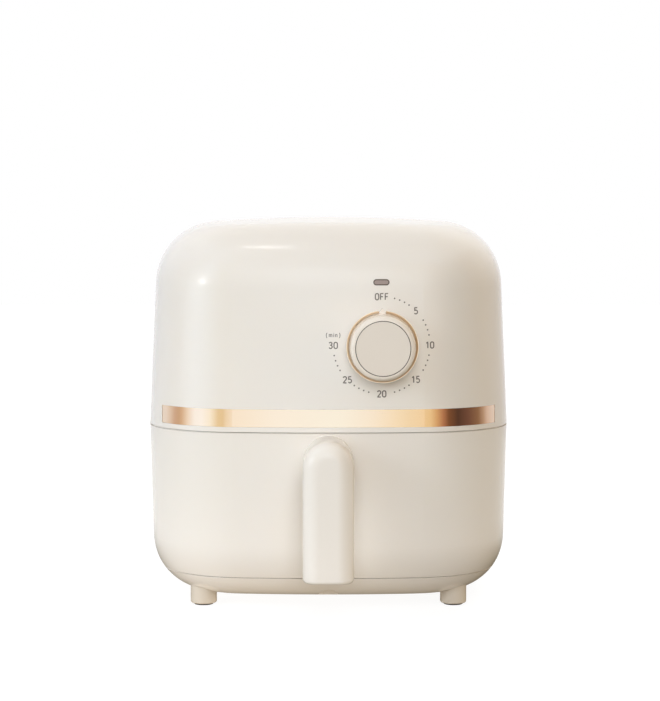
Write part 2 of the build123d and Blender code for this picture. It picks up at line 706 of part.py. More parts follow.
def tray_sides():
    """The pan's centre, a turn about Z and the distance to the pan's inner wall, for its four sides."""
    middle = Pos(0, (PAN_FRONT + PAN_BACK) / 2, 0)
    half_d = (PAN_BACK - PAN_FRONT) / 2 - PAN_WALL
    half_w = PAN_X - PAN_WALL
    return [(middle, 0, half_d), (middle, 180, half_d), (middle, 90, half_w), (middle, 270, half_w)]


def plate_bumpers():
    """Silicone clips on the plate's rim that keep it off the pan's wall."""
    clips = []
    for place, turn, reach in tray_sides():
        z0 = TRAY_LEVEL - BUMPER_H / 3
        clip = box(-BUMPER_W / 2, BUMPER_W / 2, reach - TRAY_GAP - 2 * TRAY_T, reach - FIT,
                   z0, z0 + BUMPER_H)
        clip = fillet(clip.edges().filter_by(Axis.Z).group_by(Axis.Y)[-1], 1.5)
        slot = box(-FAR, FAR, reach - TRAY_GAP - TRAY_T - SNUG, reach - TRAY_GAP + SNUG,
                   TRAY_LEVEL, TRAY_LEVEL + TRAY_LIP + SNUG)
        slot += box(-FAR, FAR, 0, reach - TRAY_GAP + SNUG, TRAY_LEVEL - SNUG, TRAY_LEVEL + TRAY_T + SNUG)
        clips.append(place * Rot(0, 0, turn) * (clip - slot))
    return together(clips)


# Handle

def handle_form():
    """An arch seen from the front; from the side a neck that turns down into the grip."""
    front = BODY_D / 2 + HANDLE_REACH
    back = front - GRIP_T
    rise = HANDLE_TOP - HANDLE_W / 2 - HANDLE_FOOT
    arch = Pos(0, rise / 2) * Rectangle(HANDLE_W, rise) + Pos(0, rise) * Circle(HANDLE_W / 2)
    solid = prism_y(arch, 0, HANDLE_FOOT, -front, -BODY_D / 2 + HANDLE_W)
    neck = HANDLE_TOP - NECK_H
    gap = box(-HANDLE_W, HANDLE_W, -back, 0, 0, neck)
    gap = fillet(gap.edges().filter_by(Axis.X).sort_by(lambda e: e.center().Z - e.center().Y)[-1], NECK_R)
    solid -= gap
    face = solid.faces().sort_by(Axis.Y)[0]
    solid = fillet(face.edges().sort_by(Axis.Z)[1:], HANDLE_EDGE_R)
    foot = solid.faces().sort_by(Axis.Z)[0]
    return fillet(foot.edges(), HANDLE_HEEL_R)


def handle_parting():
    """Where the outer shell of the handle meets its inner half."""
    return GRIP_T + HANDLE_FRONT - GRIP_BACK_T


def handle():
    return handle_form() & level(0, FAR, -FAR, handle_parting() - PARTING)


def handle_back():
    """Inner half of the grip with the neck, cut to the drawer front's bow."""
    half = handle_form() & level(0, FAR, handle_parting(), 0)
    half -= form_base()
    for z in handle_screw_levels():
        half -= rod_y(0, z, handle_screw_seat() - HANDLE_SCREW_L, 0, HANDLE_SCREW_R + SNUG)
    return half


def handle_screw_levels():
    top = HANDLE_TOP - HANDLE_SCREW_DROP
    return [top, top - HANDLE_SCREW_PITCH]


def handle_screw_seat():
    """Inner face of the steel plate behind the drawer front."""
    return WALL + STEEL_T + SEAM - BODY_D / 2


def handle_plate():
    """Steel plate behind the drawer front that spreads the handle's load."""
    top, low = handle_screw_levels()
    y1 = handle_screw_seat()
    plate = box(-HANDLE_PLATE_W / 2, HANDLE_PLATE_W / 2, -BODY_D / 2, y1,
                low - HANDLE_PLATE_EDGE, DECK_Z - DECK_T - SEAM)
    plate = plate & form_base(WALL)
    for z in handle_screw_levels():
        plate -= rod_y(0, z, -BODY_D, 0, HANDLE_SCREW_R + SNUG)
    return plate


def handle_screws():
    turned = Rot(-90, 0, 0) * screw(HANDLE_SCREW_L, HANDLE_SCREW_R, 2 * HANDLE_SCREW_R, HEAD_H)
    return together(Pos(0, handle_screw_seat(), z) * turned for z in handle_screw_levels())


# Knob and timer

def knob_turned(profile):
    """Turns a half section, given as radius and height over the knob's back, about the knob's axis."""
    solid = revolve(Plane.XZ * make_face(profile), Axis.Z)
    return Pos(KNOB_X, KNOB_BACK, KNOB_Z) * Rot(90, 0, 0) * solid


def shaft_prism(r, y0, y1):
    """A round bar along Y with one flat."""
    bar = rod_y(KNOB_X, KNOB_Z, y0, y1, r)
    return bar - box(KNOB_X - FAR, KNOB_X + FAR, y0 - 1, y1 + 1, KNOB_Z + r - SHAFT_FLAT, KNOB_Z + FAR)


def timer_knob():
    """Cupped knob with a rounded shoulder, a seat for its cap and a pointer at its base."""
    body = knob_turned(Polyline((0, 0), (KNOB_R, 0), (KNOB_R - KNOB_DRAFT, KNOB_H), (0, KNOB_H), (0, 0)))
    rim = body.edges().filter_by(GeomType.CIRCLE).sort_by(Axis.Y)[0]
    body = fillet(rim, SHOULDER_R)
    face = KNOB_BACK - KNOB_H
    seat = face + CAP_T + CAP_GROOVE
    body -= rod_y(KNOB_X, KNOB_Z, face - 1, seat, KNOB_FACE_R)
    cup = rod_y(KNOB_X, KNOB_Z, seat + KNOB_WALL, KNOB_BACK + 1, KNOB_FACE_R - KNOB_WALL / 2)
    body -= cup - rod_y(KNOB_X, KNOB_Z, face, KNOB_BACK + 2, 2 * SHAFT_R)
    body -= knob_turned(Polyline((RING_R - RING_W, -1), (RING_R, -1), (RING_R, RING_T + SNUG),
                                 (RING_R - RING_W, RING_T + SNUG), (RING_R - RING_W, -1)))
    nose = Polyline((-POINTER_W / 2, 0), (POINTER_W / 2, 0), (POINTER_W / 2, RING_R - RING_W / 2),
                    (0, POINTER_R), (-POINTER_W / 2, RING_R - RING_W / 2), (-POINTER_W / 2, 0))
    pointer = prism_y(make_face(nose), KNOB_X, KNOB_Z, KNOB_BACK - POINTER_T, KNOB_BACK)
    body += pointer - rod_y(KNOB_X, KNOB_Z, face, KNOB_BACK + 1, KNOB_FACE_R + 1)
    return body - shaft_prism(SHAFT_R + SNUG / 2, seat + KNOB_WALL, KNOB_BACK + 1)


def knob_cap():
    """Flat disc set in the knob's face."""
    face = KNOB_BACK - KNOB_H
    cap = rod_y(KNOB_X, KNOB_Z, face, face + CAP_T + CAP_GROOVE, KNOB_FACE_R - CAP_GROOVE)
    return chamfer(cap.edges().filter_by(GeomType.CIRCLE).sort_by(Axis.Y)[0], CAP_GROOVE / 2)


def knob_ring():
    """Metal ring round the knob's base with a face that slopes in, open where the pointer passes."""
    inner = RING_R - RING_W + SNUG
    section = Polyline((inner, 0), (RING_R, 0), (RING_R, RING_T), (RING_R - RING_LIP, RING_T),
                       (inner, RING_T - RING_DISH), (inner, 0))
    gap = POINTER_W / 2 + SNUG
    return knob_turned(section) - box(KNOB_X - gap, KNOB_X + gap, -FAR, 0, KNOB_Z, FAR)


def timer_neck_r():
    return SHAFT_R + WALL / 2


def timer_shaft():
    end = KNOB_BACK - KNOB_H + CAP_T + CAP_GROOVE + KNOB_WALL + SNUG
    return shaft_prism(SHAFT_R, end, KNOB_BACK + SEAT_GAP) + rod_y(
        KNOB_X, KNOB_Z, KNOB_BACK + SEAT_GAP, TIMER_BACK - WALL, SHAFT_R)


def timer_ears():
    return KNOB_X - TIMER_EAR / 2, KNOB_X + TIMER_EAR / 2


def timer_unit():
    """Clockwork timer: mounting plate, neck, casing and switch tabs."""
    half = TIMER_W / 2
    plate = prism_y(RectangleRounded(TIMER_EAR + 2 * BOSS_R, TIMER_W * 0.6, BOSS_R), KNOB_X, KNOB_Z,
                    TIMER_Y, TIMER_Y + TIMER_PLATE_T)
    case = prism_y(RectangleRounded(TIMER_W, TIMER_W, TIMER_CORNER_R), KNOB_X, KNOB_Z,
                   TIMER_Y + TIMER_PLATE_T, TIMER_BACK)
    case = chamfer(case.edges().group_by(Axis.Y)[-1], TIMER_EDGE)
    neck = rod_y(KNOB_X, KNOB_Z, KNOB_BACK + 2 * SEAT_GAP + WALL, TIMER_Y, timer_neck_r())
    unit = plate + case + neck
    for x in timer_ears():
        unit -= rod_y(x, KNOB_Z, TIMER_Y - 1, TIMER_BACK, SCREW_R + SNUG)
        unit -= rod_y(x, KNOB_Z, TIMER_Y + TIMER_PLATE_T, TIMER_BACK + 1, HEAD_R + FIT)
    low = KNOB_Z - half + TAB_W
    for index in (-1, 1):
        x = KNOB_X + index * half / 2
        unit += box(x - TAB_W / 2, x + TAB_W / 2, TIMER_BACK, TIMER_BACK + TAB_L, low, low + TAB_T)
    return unit - rod_y(KNOB_X, KNOB_Z, KNOB_BACK, TIMER_BACK - WALL, SHAFT_R + RUNNING)


def timer_bell():
    """Domed bell on the back of the timer."""
    arc = (BELL_R**2 + BELL_H**2) / (2 * BELL_H)
    dome = Pos(0, 0, BELL_H - arc) * (Sphere(arc) - Sphere(arc - BELL_T))
    dome = dome & Pos(0, 0, FAR / 2) * Cylinder(BELL_R, FAR)
    bell = dome + post(0, 0, -BELL_GAP, BELL_H - BELL_T / 2, BELL_STUD_R)
    return Pos(KNOB_X, TIMER_BACK + BELL_GAP, KNOB_Z) * Rot(-90, 0, 0) * bell


def timer_screws():
    tip = max(front_y(x, KNOB_Z) for x in timer_ears()) + 2 * WALL
    turned = Rot(-90, 0, 0) * screw(TIMER_Y + TIMER_PLATE_T - tip)
    return together(Pos(x, TIMER_Y + TIMER_PLATE_T, KNOB_Z) * turned for x in timer_ears())


# Indicator lamp

def lamp_prism(inset):
    outline = SlotOverall(LAMP_W - 2 * inset, LAMP_H - 2 * inset)
    return prism_y(outline, LAMP_X, LAMP_Z, LAMP_Y - 2 * WALL, LAMP_Y + 2 * WALL)


def lamp_bezel():
    """Dark rim round the lamp's window, with a flange behind the wall."""
    flange = lamp_prism(-LENS_FLANGE) & (form_top(WALL + SNUG) - form_top(WALL + LENS_FLANGE / 2))
    sleeve = lamp_prism(SNUG) & (form_top(0) - form_top(WALL + LENS_FLANGE / 2))
    return flange + sleeve - lamp_prism(LAMP_RIM)


def lamp_lens():
    """Smoky window that sits a little below the rim, with a light guide behind it."""
    window = lamp_prism(LAMP_RIM + SNUG) & (form_top(LENS_SINK) - form_top(WALL + LENS_T))
    guide = rod_y(LAMP_X, LAMP_Z, LAMP_Y + WALL + LENS_T / 2, neon_y(), LAMP_H / 2 - LAMP_RIM - SNUG)
    return window + guide


def neon_y():
    return LAMP_Y + WALL + LENS_T + WALL


def neon_lamp():
    """Small neon tube with two lead wires."""
    y0 = neon_y()
    tube = rod_y(LAMP_X, LAMP_Z, y0, y0 + NEON_L, NEON_R)
    tube = fillet(tube.edges().filter_by(GeomType.CIRCLE).sort_by(Axis.Y)[0], NEON_R / 2)
    for side in (-1, 1):
        tube += rod_y(LAMP_X + side * NEON_R / 2, LAMP_Z, y0 + NEON_L - LEAD_R, y0 + NEON_L + LEAD_L, LEAD_R)
    return tube


# Heater

def chamber_screw_spots():
    return [polar(CHAMBER_R + CHAMBER_FLANGE / 2 + GASKET_T / 2, angle) for angle in SCREW_ANGLES]


def ring(r0, r1, z0, z1):
    return post(0, 0, z0, z1, r1) - post(0, 0, z0 - 1, z1 + 1, r0)


def heat_chamber():
    """Pressed steel bell with a round shoulder, open over the pan, with an outlet at the back."""
    outer = post(0, 0, CHAMBER_Z0, CHAMBER_Z1, CHAMBER_R)
    outer = fillet(outer.edges().sort_by(Axis.Z)[-1], CHAMBER_CROWN_R)
    inner = post(0, 0, CHAMBER_Z0 - 1, CHAMBER_Z1 - CHAMBER_T, CHAMBER_R - CHAMBER_T)
    inner = fillet(inner.edges().sort_by(Axis.Z)[-1], CHAMBER_CROWN_R - CHAMBER_T)
    flange = post(0, 0, CHAMBER_Z0, CHAMBER_Z0 + CHAMBER_T, CHAMBER_R + CHAMBER_FLANGE)
    bell = outer + flange - inner
    bell -= post(0, 0, CHAMBER_Z0, TOP_Z, 2 * SHAFT_R)
    for x, y in element_ends():
        bell -= post(x, y, CHAMBER_Z1 - 2 * CHAMBER_T, TOP_Z, BUSHING_R - BUSHING_LAP)
    bell -= duct_prism(DUCT_T)
    for x, y in chamber_screw_spots():
        bell -= post(x, y, 0, CHAMBER_Z0 + 2 * CHAMBER_T, SCREW_R + SNUG)
    for angle in BRACKET_ANGLES:
        x, y = bracket_foot_spot(angle)
        bell -= post(x, y, CHAMBER_Z1 - 2 * CHAMBER_T, TOP_Z, SCREW_R + SNUG)
    return bell


def chamber_gasket():
    seal = ring(CHAMBER_R + FRAME_LEDGE / 2 + SNUG, CHAMBER_R + CHAMBER_FLANGE, FRAME_Z1, CHAMBER_Z0)
    for x, y in chamber_screw_spots():
        seal -= post(x, y, 0, TOP_Z, SCREW_R + SNUG)
    return seal


def chamber_screws():
    length = GASKET_T + CHAMBER_T + FRAME_T - SEAM
    return together(Pos(x, y, CHAMBER_Z0 + CHAMBER_T) * screw(length) for x, y in chamber_screw_spots())


def element_ends():
    """Where the two ends of the heating tube pass through the bell's roof."""
    # The vertical legs stand one bend radius beyond the ends of the flat loops, along the tangent.
    spots = []
    for radius in (ELEMENT_OUTER, ELEMENT_OUTER - ELEMENT_PITCH):
        x, y = polar(radius, ELEMENT_START)
        tx, ty = polar(ELEMENT_BEND, ELEMENT_START - 90)
        spots.append((x + tx, y + ty))
    return spots


def heating_element():
    """Steel tube bent into an open double loop, with both ends turned up through the roof."""
    z = CHAMBER_Z0 + ELEMENT_Z
    top = CHAMBER_Z1 + BUSHING_H
    outer, inner = ELEMENT_OUTER, ELEMENT_OUTER - ELEMENT_PITCH
    middle = (outer + inner) / 2
    last = ELEMENT_START + ELEMENT_SWEEP

    def bend(radius, spot):
        """Quarter bend from the vertical leg into the flat loop."""
        x, y = polar(radius, ELEMENT_START)
        far_x, far_y = spot
        mid = ELEMENT_BEND * (1 - sin(pi / 4))
        mx = far_x + (x - far_x) * (1 - cos(pi / 4))
        my = far_y + (y - far_y) * (1 - cos(pi / 4))
        return ThreePointArc((far_x, far_y, z + ELEMENT_BEND), (mx, my, z + mid), (x, y, z))

    def loop(radius):
        angles = (ELEMENT_START, (ELEMENT_START + last) / 2, last)
        return ThreePointArc(*((*polar(radius, angle), z) for angle in angles))

    def leg(spot):
        return Line((*spot, top), (*spot, z + ELEMENT_BEND))

    turn_x, turn_y = polar(middle, last)
    reach_x, reach_y = polar(ELEMENT_PITCH / 2, last + 90)
    turn = ThreePointArc((*polar(outer, last), z), (turn_x + reach_x, turn_y + reach_y, z),
                         (*polar(inner, last), z))
    first, second = element_ends()
    path = Wire([leg(first), bend(outer, first), loop(outer), turn,
                 loop(inner), bend(inner, second), leg(second)])
    section = Plane(origin=(*first, top), z_dir=(0, 0, -1)) * Circle(ELEMENT_R)
    tube = sweep(section, path=path)
    for x, y in element_ends():
        tube += post(x, y, top - PIN_R, top + PIN_L, PIN_R)
    return tube


def element_bushings():
    """Ceramic bushings round the heating tube's ends."""
    rings = []
    for x, y in element_ends():
        bush = post(x, y, CHAMBER_Z1, CHAMBER_Z1 + BUSHING_H - PIN_STEP, BUSHING_R + BUSHING_LAP)
        bush = chamfer(bush.edges().sort_by(Axis.Z)[-1], BUSHING_LAP)
        bush += post(x, y, CHAMBER_Z1 - CHAMBER_T, CHAMBER_Z1 + CHAMBER_T, BUSHING_R - BUSHING_LAP - SNUG)
        rings.append(bush - post(x, y, 0, TOP_Z, ELEMENT_R + SNUG))
    return together(rings)


def element_guard():
    """Wire guard under the heating tube: rings joined by spokes, held under the bell's edge."""
    edge = CHAMBER_R + FRAME_LEDGE / 2 - GUARD_WIRE - FIT
    z = FRAME_Z0 + FRAME_STEP + GUARD_WIRE
    guard = Pos(0, 0, z) * Torus(edge, GUARD_WIRE)
    for radius in GUARD_RINGS:
        guard += Pos(0, 0, z) * Torus(radius, GUARD_WIRE)
    length = edge - GUARD_RINGS[0]
    for index in range(GUARD_SPOKES):
        spoke = Pos(GUARD_RINGS[0] + length / 2, 0, z) * Rot(0, 90, 0) * Cylinder(GUARD_WIRE, length)
        guard += Rot(0, 0, (index + 0.5) * 360 / GUARD_SPOKES) * spoke
    return guard


def thermostat():
    """Disc thermostat on the bell's roof."""
    x, y = polar(SENSOR_RADIUS, SENSOR_ANGLE)
    top = CHAMBER_Z1 + SENSOR_H
    disc = post(x, y, CHAMBER_Z1, top, SENSOR_R)
    disc = fillet(disc.edges().sort_by(Axis.Z)[-1], SENSOR_R / 8)
    for side in (-1, 1):
        middle = x + side * SENSOR_R / 2
        disc += box(middle - TAB_W / 2, middle + TAB_W / 2, y - TAB_T / 2, y + TAB_T / 2,
                    top - TAB_T, top + TAB_L)
    return disc


def thermal_fuse():
    """Fuse capsule in a steel clip on the bell's roof."""
    x, y = polar(SENSOR_RADIUS, FUSE_ANGLE)
    z = CHAMBER_Z1 + FUSE_R + CLIP_RIM
    capsule = Pos(x, y, z) * Rot(0, 90, 0) * Cylinder(FUSE_R, FUSE_L)
    capsule += Pos(x, y, z) * Rot(0, 90, 0) * Cylinder(FUSE_LEAD_R, FUSE_L + 2 * LEAD_L)
    clip = box(x - CLIP_W / 2, x + CLIP_W / 2, y - FUSE_R - CLIP_RIM, y + FUSE_R + CLIP_RIM + CLIP_TONGUE,
               CHAMBER_Z1, z)
    return capsule + clip


def duct_prism(inset):
    """The duct's outer form, or its bore, which is drawn in by inset and runs out at both ends."""
    half = DUCT_W / 2 - inset
    z0 = CHAMBER_Z0 + 2 * CHAMBER_T
    end = BODY_D / 2 - GRILLE_T - DUCT_GAP
    return box(-half, half, CHAMBER_R - DUCT_W / 4 - inset, end + inset, z0 + inset, z0 + DUCT_H - inset)


def exhaust_duct():
    """Flat duct that carries the hot air from the bell to the rear grille."""
    return duct_prism(0) - duct_prism(DUCT_T) - post(0, 0, 0, TOP_Z, CHAMBER_R + SNUG)


def grille_box(inset):
    half = GRILLE_W / 2 - inset
    return box(-half, half, 0, BODY_D, GRILLE_Z + inset, GRILLE_Z + GRILLE_H - inset)


def rear_grille():
    """Louvred outlet in the rear wall, flush outside, with a lip inside."""
    panel = grille_box(SNUG) & (form_top(GRILLE_SINK) - form_top(GRILLE_T))
    panel += grille_box(-WALL) & (form_top(WALL + SNUG) - form_top(GRILLE_T))
    half = GRILLE_W / 2 - GRILLE_RIM
    count = int((GRILLE_H - 2 * GRILLE_RIM) // GRILLE_PITCH)
    first = GRILLE_Z + GRILLE_H / 2 - (count - 1) * GRILLE_PITCH / 2
    for index in range(count):
        z = first + index * GRILLE_PITCH
        slot = box(-half, half, -4 * GRILLE_T, 4 * GRILLE_T, -GRILLE_SLOT / 2, GRILLE_SLOT / 2)
        slot -= box(-GRILLE_BAR / 2, GRILLE_BAR / 2, -FAR, FAR, -FAR, FAR)
        panel -= Pos(0, rear_y(0, z), z) * Rot(-GRILLE_TILT, 0, 0) * slot
    return panel


# Rotor and motor

def hot_air_fan():
    """Pressed fan: a disc with bent-down curved blades and a hub."""
    z1 = CHAMBER_Z1 - CHAMBER_T - FAN_DROP
    fan = post(0, 0, z1 - FAN_T, z1, FAN_R)
    fan += post(0, 0, z1 - FAN_BLADE_H / 2, z1, FAN_HUB_R)
    eye = FAN_R * FAN_EYE
    arc = Pos(FAN_R - eye * 2 / 3, eye * 0.7) * (Circle(eye) - Circle(eye - FAN_T))
    blade = arc & (Circle(FAN_R - FAN_T) - Circle(eye))
    blade = blade & Pos(FAN_R / 2, -FAN_R / 2) * Rectangle(FAN_R, FAN_R)
    for index in range(FAN_BLADES):
        turned = Rot(0, 0, index * 360 / FAN_BLADES) * blade
        fan += Pos(0, 0, z1 - FAN_BLADE_H) * extrude(turned, FAN_BLADE_H - FAN_T / 2)
    return fan - post(0, 0, 0, TOP_Z, SHAFT_R)


def cooling_fan():
    """Axial fan over the bell that keeps the motor and casing cool."""
    z0 = CHAMBER_Z1 + COOLER_RISE
    fan = post(0, 0, z0, z0 + COOLER_H, COOLER_HUB_R)
    fan = fillet(fan.edges().sort_by(Axis.Z)[-1], COOLER_HUB_R / 5)
    inner = COOLER_HUB_R - COOLER_ROOT
    length = COOLER_R - inner
    chord = (COOLER_H - COOLER_T) / sin(radians(COOLER_PITCH))
    for index in range(COOLER_BLADES):
        blade = Box(length, chord, COOLER_T)
        blade = Pos(inner + length / 2, 0, z0 + COOLER_H / 2) * Rot(COOLER_PITCH, 0, 0) * blade
        fan += Rot(0, 0, index * 360 / COOLER_BLADES) * blade
    fan = fan & post(0, 0, z0, z0 + COOLER_H, COOLER_R)
    return fan - post(0, 0, 0, TOP_Z, SHAFT_R)


def motor_shaft():
    z0 = CHAMBER_Z1 - CHAMBER_T - FAN_DROP - FAN_BLADE_H
    return post(0, 0, z0, MOTOR_Z + MOTOR_H + 1.5 * BEARING_H, SHAFT_R)


def fan_nut():
    """Nut that holds the hot-air fan on the shaft."""
    z1 = CHAMBER_Z1 - CHAMBER_T - FAN_DROP - FAN_BLADE_H / 2
    nut = Pos(0, 0, z1 - NUT_H) * extrude(RegularPolygon(NUT_R, 6), NUT_H)
    return nut - post(0, 0, 0, TOP_Z, SHAFT_R)


def motor_body():
    """Motor: two end bells round the stator, with a bearing at each end."""
    body = post(0, 0, MOTOR_Z, MOTOR_Z + MOTOR_H, MOTOR_R)
    body = fillet(body.edges().filter_by(GeomType.CIRCLE), MOTOR_EDGE_R)
    middle = MOTOR_Z + MOTOR_H / 2
    body += post(0, 0, middle - STATOR_H / 2, middle + STATOR_H / 2, STATOR_R)
    body += post(0, 0, middle, MOTOR_Z + MOTOR_H + BEARING_H, BEARING_R)
    for index in range(MOTOR_VENTS):
        x, y = polar((MOTOR_R + BEARING_R) / 2, index * 360 / MOTOR_VENTS)
        body -= post(x, y, MOTOR_Z + MOTOR_H - MOTOR_VENT_H, TOP_Z, MOTOR_VENT_R)
    return body - post(0, 0, 0, TOP_Z, SHAFT_R + RUNNING)


def bracket_foot_spot(angle):
    return polar(BRACKET_LEG_R + BRACKET_FOOT / 2, angle)


def motor_bracket():
    """Steel bridge with three legs that carries the motor over the bell."""
    half = BRACKET_LEG_W / 2
    plate = post(0, 0, BRACKET_Z, BRACKET_Z + BRACKET_T, BRACKET_R)
    for angle in BRACKET_ANGLES:
        arm = box(0, BRACKET_LEG_R, -half, half, BRACKET_Z, BRACKET_Z + BRACKET_T)
        leg = box(BRACKET_LEG_R - STEEL_T, BRACKET_LEG_R, -half, half, CHAMBER_Z1, BRACKET_Z + BRACKET_T)
        foot = box(BRACKET_LEG_R - STEEL_T, BRACKET_LEG_R + BRACKET_FOOT, -half, half,
                   CHAMBER_Z1, CHAMBER_Z1 + STEEL_T)
        plate += Rot(0, 0, angle) * (arm + leg + foot)
        x, y = bracket_foot_spot(angle)
        plate -= post(x, y, 0, CHAMBER_Z1 + 2 * STEEL_T, SCREW_R + SNUG)
    return plate - post(0, 0, 0, TOP_Z, BEARING_R)


def bracket_screws():
    length = 2 * CHAMBER_T + STEEL_T
    return together(Pos(*bracket_foot_spot(angle), CHAMBER_Z1 + STEEL_T) * screw(length)
                    for angle in BRACKET_ANGLES)


PARTS = [
    top_housing, trim_band, lower_housing, base_plate, base_screws, feet, foot_pads, cord_inlet,
    mid_frame, frame_screws, drawer_bay, safety_switch, switch_plunger, terminal_block,
    drawer_front, drawer_inner, drawer_pan, crisper_plate, plate_bumpers,
    handle, handle_back, handle_plate, handle_screws,
    timer_knob, knob_cap, knob_ring, timer_shaft, timer_unit, timer_bell, timer_screws,
    lamp_bezel, lamp_lens, neon_lamp,
    heat_chamber, chamber_gasket, chamber_screws, heating_element, element_bushings, element_guard,
    thermostat, thermal_fuse, exhaust_duct, rear_grille,
    hot_air_fan, cooling_fan, motor_shaft, fan_nut, motor_body, motor_bracket, bracket_screws,
]

os.makedirs("parts", exist_ok=True)
for make in PARTS:
    export_step(Pos(0, BODY_Y, 0) * make(), f"parts/{make.__name__}.step")
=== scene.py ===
import json
from math import cos, pi, radians, sin

import bpy
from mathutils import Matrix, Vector

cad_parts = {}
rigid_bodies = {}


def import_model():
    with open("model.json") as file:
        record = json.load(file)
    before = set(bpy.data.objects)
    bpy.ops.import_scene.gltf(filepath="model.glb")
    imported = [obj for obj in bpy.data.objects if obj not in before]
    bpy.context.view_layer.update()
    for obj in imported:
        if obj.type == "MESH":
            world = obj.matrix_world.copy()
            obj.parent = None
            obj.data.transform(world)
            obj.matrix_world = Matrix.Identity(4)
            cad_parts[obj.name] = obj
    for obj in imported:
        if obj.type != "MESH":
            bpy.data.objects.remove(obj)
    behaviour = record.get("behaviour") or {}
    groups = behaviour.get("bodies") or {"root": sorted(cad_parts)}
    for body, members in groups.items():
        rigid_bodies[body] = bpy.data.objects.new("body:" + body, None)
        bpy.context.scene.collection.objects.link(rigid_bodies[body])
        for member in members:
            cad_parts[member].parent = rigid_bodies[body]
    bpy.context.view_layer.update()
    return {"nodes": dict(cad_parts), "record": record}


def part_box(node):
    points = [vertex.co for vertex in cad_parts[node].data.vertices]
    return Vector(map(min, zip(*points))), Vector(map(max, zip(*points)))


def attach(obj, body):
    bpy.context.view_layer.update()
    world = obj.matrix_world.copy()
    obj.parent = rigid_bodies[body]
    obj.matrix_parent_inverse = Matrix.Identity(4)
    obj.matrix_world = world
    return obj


# Drawer air fryer with cream mouldings, a polished gold strip and one timer knob.
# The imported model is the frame: +X to the right seen from the front, -Y the front, +Z up, metres.

# An empty scene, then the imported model
for leftover in list(bpy.data.objects):
    bpy.data.objects.remove(leftover)
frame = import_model()
NODES = frame["nodes"]
MM = 0.001

# Places of the colour sockets on the mixing node, where several share a name
MIX_FACTOR, MIX_FIRST, MIX_SECOND, MIX_COLOR = 0, 6, 7, 2


# Short ways to make objects, meshes and nodes

def new_object(name, data):
    """A new object at the origin, in the scene."""
    thing = bpy.data.objects.new(name, data)
    bpy.context.collection.objects.link(thing)
    return thing


def new_mesh(name, points, faces):
    mesh = bpy.data.meshes.new(name)
    mesh.from_pydata(points, [], faces)
    return mesh


def feed(tree, socket, value):
    """Gives an input socket either a link from another socket or a plain value."""
    if isinstance(value, bpy.types.NodeSocket):
        tree.links.new(value, socket)
    else:
        socket.default_value = value


def wired(tree, kind, links=None, **settings):
    """Adds a node, sets it up and feeds its inputs by name or number from sockets or plain values."""
    node = tree.nodes.new(kind)
    for name, value in settings.items():
        setattr(node, name, value)
    for name, value in (links or {}).items():
        feed(tree, node.inputs[name], value)
    return node


def maths(tree, operation, first, second=0.0):
    """One step of arithmetic; some operations need only the first value."""
    return wired(tree, "ShaderNodeMath", {0: first, 1: second}, operation=operation).outputs[0]


def noise(tree, place, scale, detail=2.0, rough=0.5):
    """A noise texture whose scale is in waves per metre."""
    return wired(tree, "ShaderNodeTexNoise", {
        "Vector": place, "Scale": scale, "Detail": detail, "Roughness": rough}).outputs["Fac"]


def ranged(tree, value, low, high, start=0.3, end=0.7):
    """Maps a value from start..end to low..high, held at both ends; noise lies mostly in 0.3..0.7."""
    node = wired(tree, "ShaderNodeMapRange", {
        "Value": value, "From Min": start, "From Max": end, "To Min": low, "To Max": high})
    return node.outputs["Result"]


def mixed(tree, factor, first, second):
    """Colour between two colours: the first at 0, the second at 1."""
    sockets = {MIX_FACTOR: factor, MIX_FIRST: first, MIX_SECOND: second}
    return wired(tree, "ShaderNodeMix", sockets, data_type="RGBA").outputs[MIX_COLOR]


def bumped(tree, height, strength, distance):
    return wired(tree, "ShaderNodeBump", {
        "Height": height, "Strength": strength, "Distance": distance}).outputs["Normal"]


def plain_color(tree, color):
    node = wired(tree, "ShaderNodeRGB")
    node.outputs[0].default_value = (*color, 1)
    return node.outputs[0]


def tone(red, green, blue):
    """An sRGB colour, 0 to 255, as the linear value that a shader takes."""
    def linear(value):
        value /= 255
        return value / 12.92 if value <= 0.04045 else ((value + 0.055) / 1.055) ** 2.4
    return linear(red), linear(green), linear(blue), 1.0


class Shader:
    """A new material with a Principled shader, and short ways to set and join its sockets."""

    def __init__(self, name):
        self.material = bpy.data.materials.new(name)
        self.material.use_nodes = True
        self.tree = self.material.node_tree
        self.surface = self.tree.nodes["Principled BSDF"]
        self.place = wired(self.tree, "ShaderNodeTexCoord").outputs["Object"]

    def set(self, **values):
        """Feeds the Principled shader's own sockets."""
        for name, value in values.items():
            feed(self.tree, self.surface.inputs[name.replace("_", " ")], value)

    def finished(self, group, **values):
        """Adds a finish group with these values and sends what it gives to the Principled shader."""
        finish = wired(self.tree, "ShaderNodeGroup", {"Place": self.place}, node_tree=group)
        for name, value in values.items():
            feed(self.tree, finish.inputs[name.replace("_", " ")], value)
        self.set(Base_Color=finish.outputs["Color"], Roughness=finish.outputs["Roughness"],
                 Normal=finish.outputs["Normal"])
        return self.material


# Finishes that several materials share

FLOAT, COLOR, VECTOR = "NodeSocketFloat", "NodeSocketColor", "NodeSocketVector"

# Sizes of the patterns, in waves per metre
FLOW_WAVES = 9.0
SMUDGE_WAVES = 34.0
TINT_WAVES = 22.0
PATCH_WAVES = 60.0
PEEL_WAVES = 420.0
RIPPLE_WAVES = 260.0
FLECK_WAVES = 1100.0
LINE_WAVES = 400.0

FLECK_EDGE = (0.64, 0.72)  # noise values where a fleck starts and is full
PEEL_DEPTH = 0.05 * MM
PEEL_STRENGTH = 0.2
LINE_DEPTH = 0.02 * MM
RIPPLE_DEPTH = 0.02 * MM
RIPPLE_STRENGTH = 0.12
CLEAR_IOR = 1.5


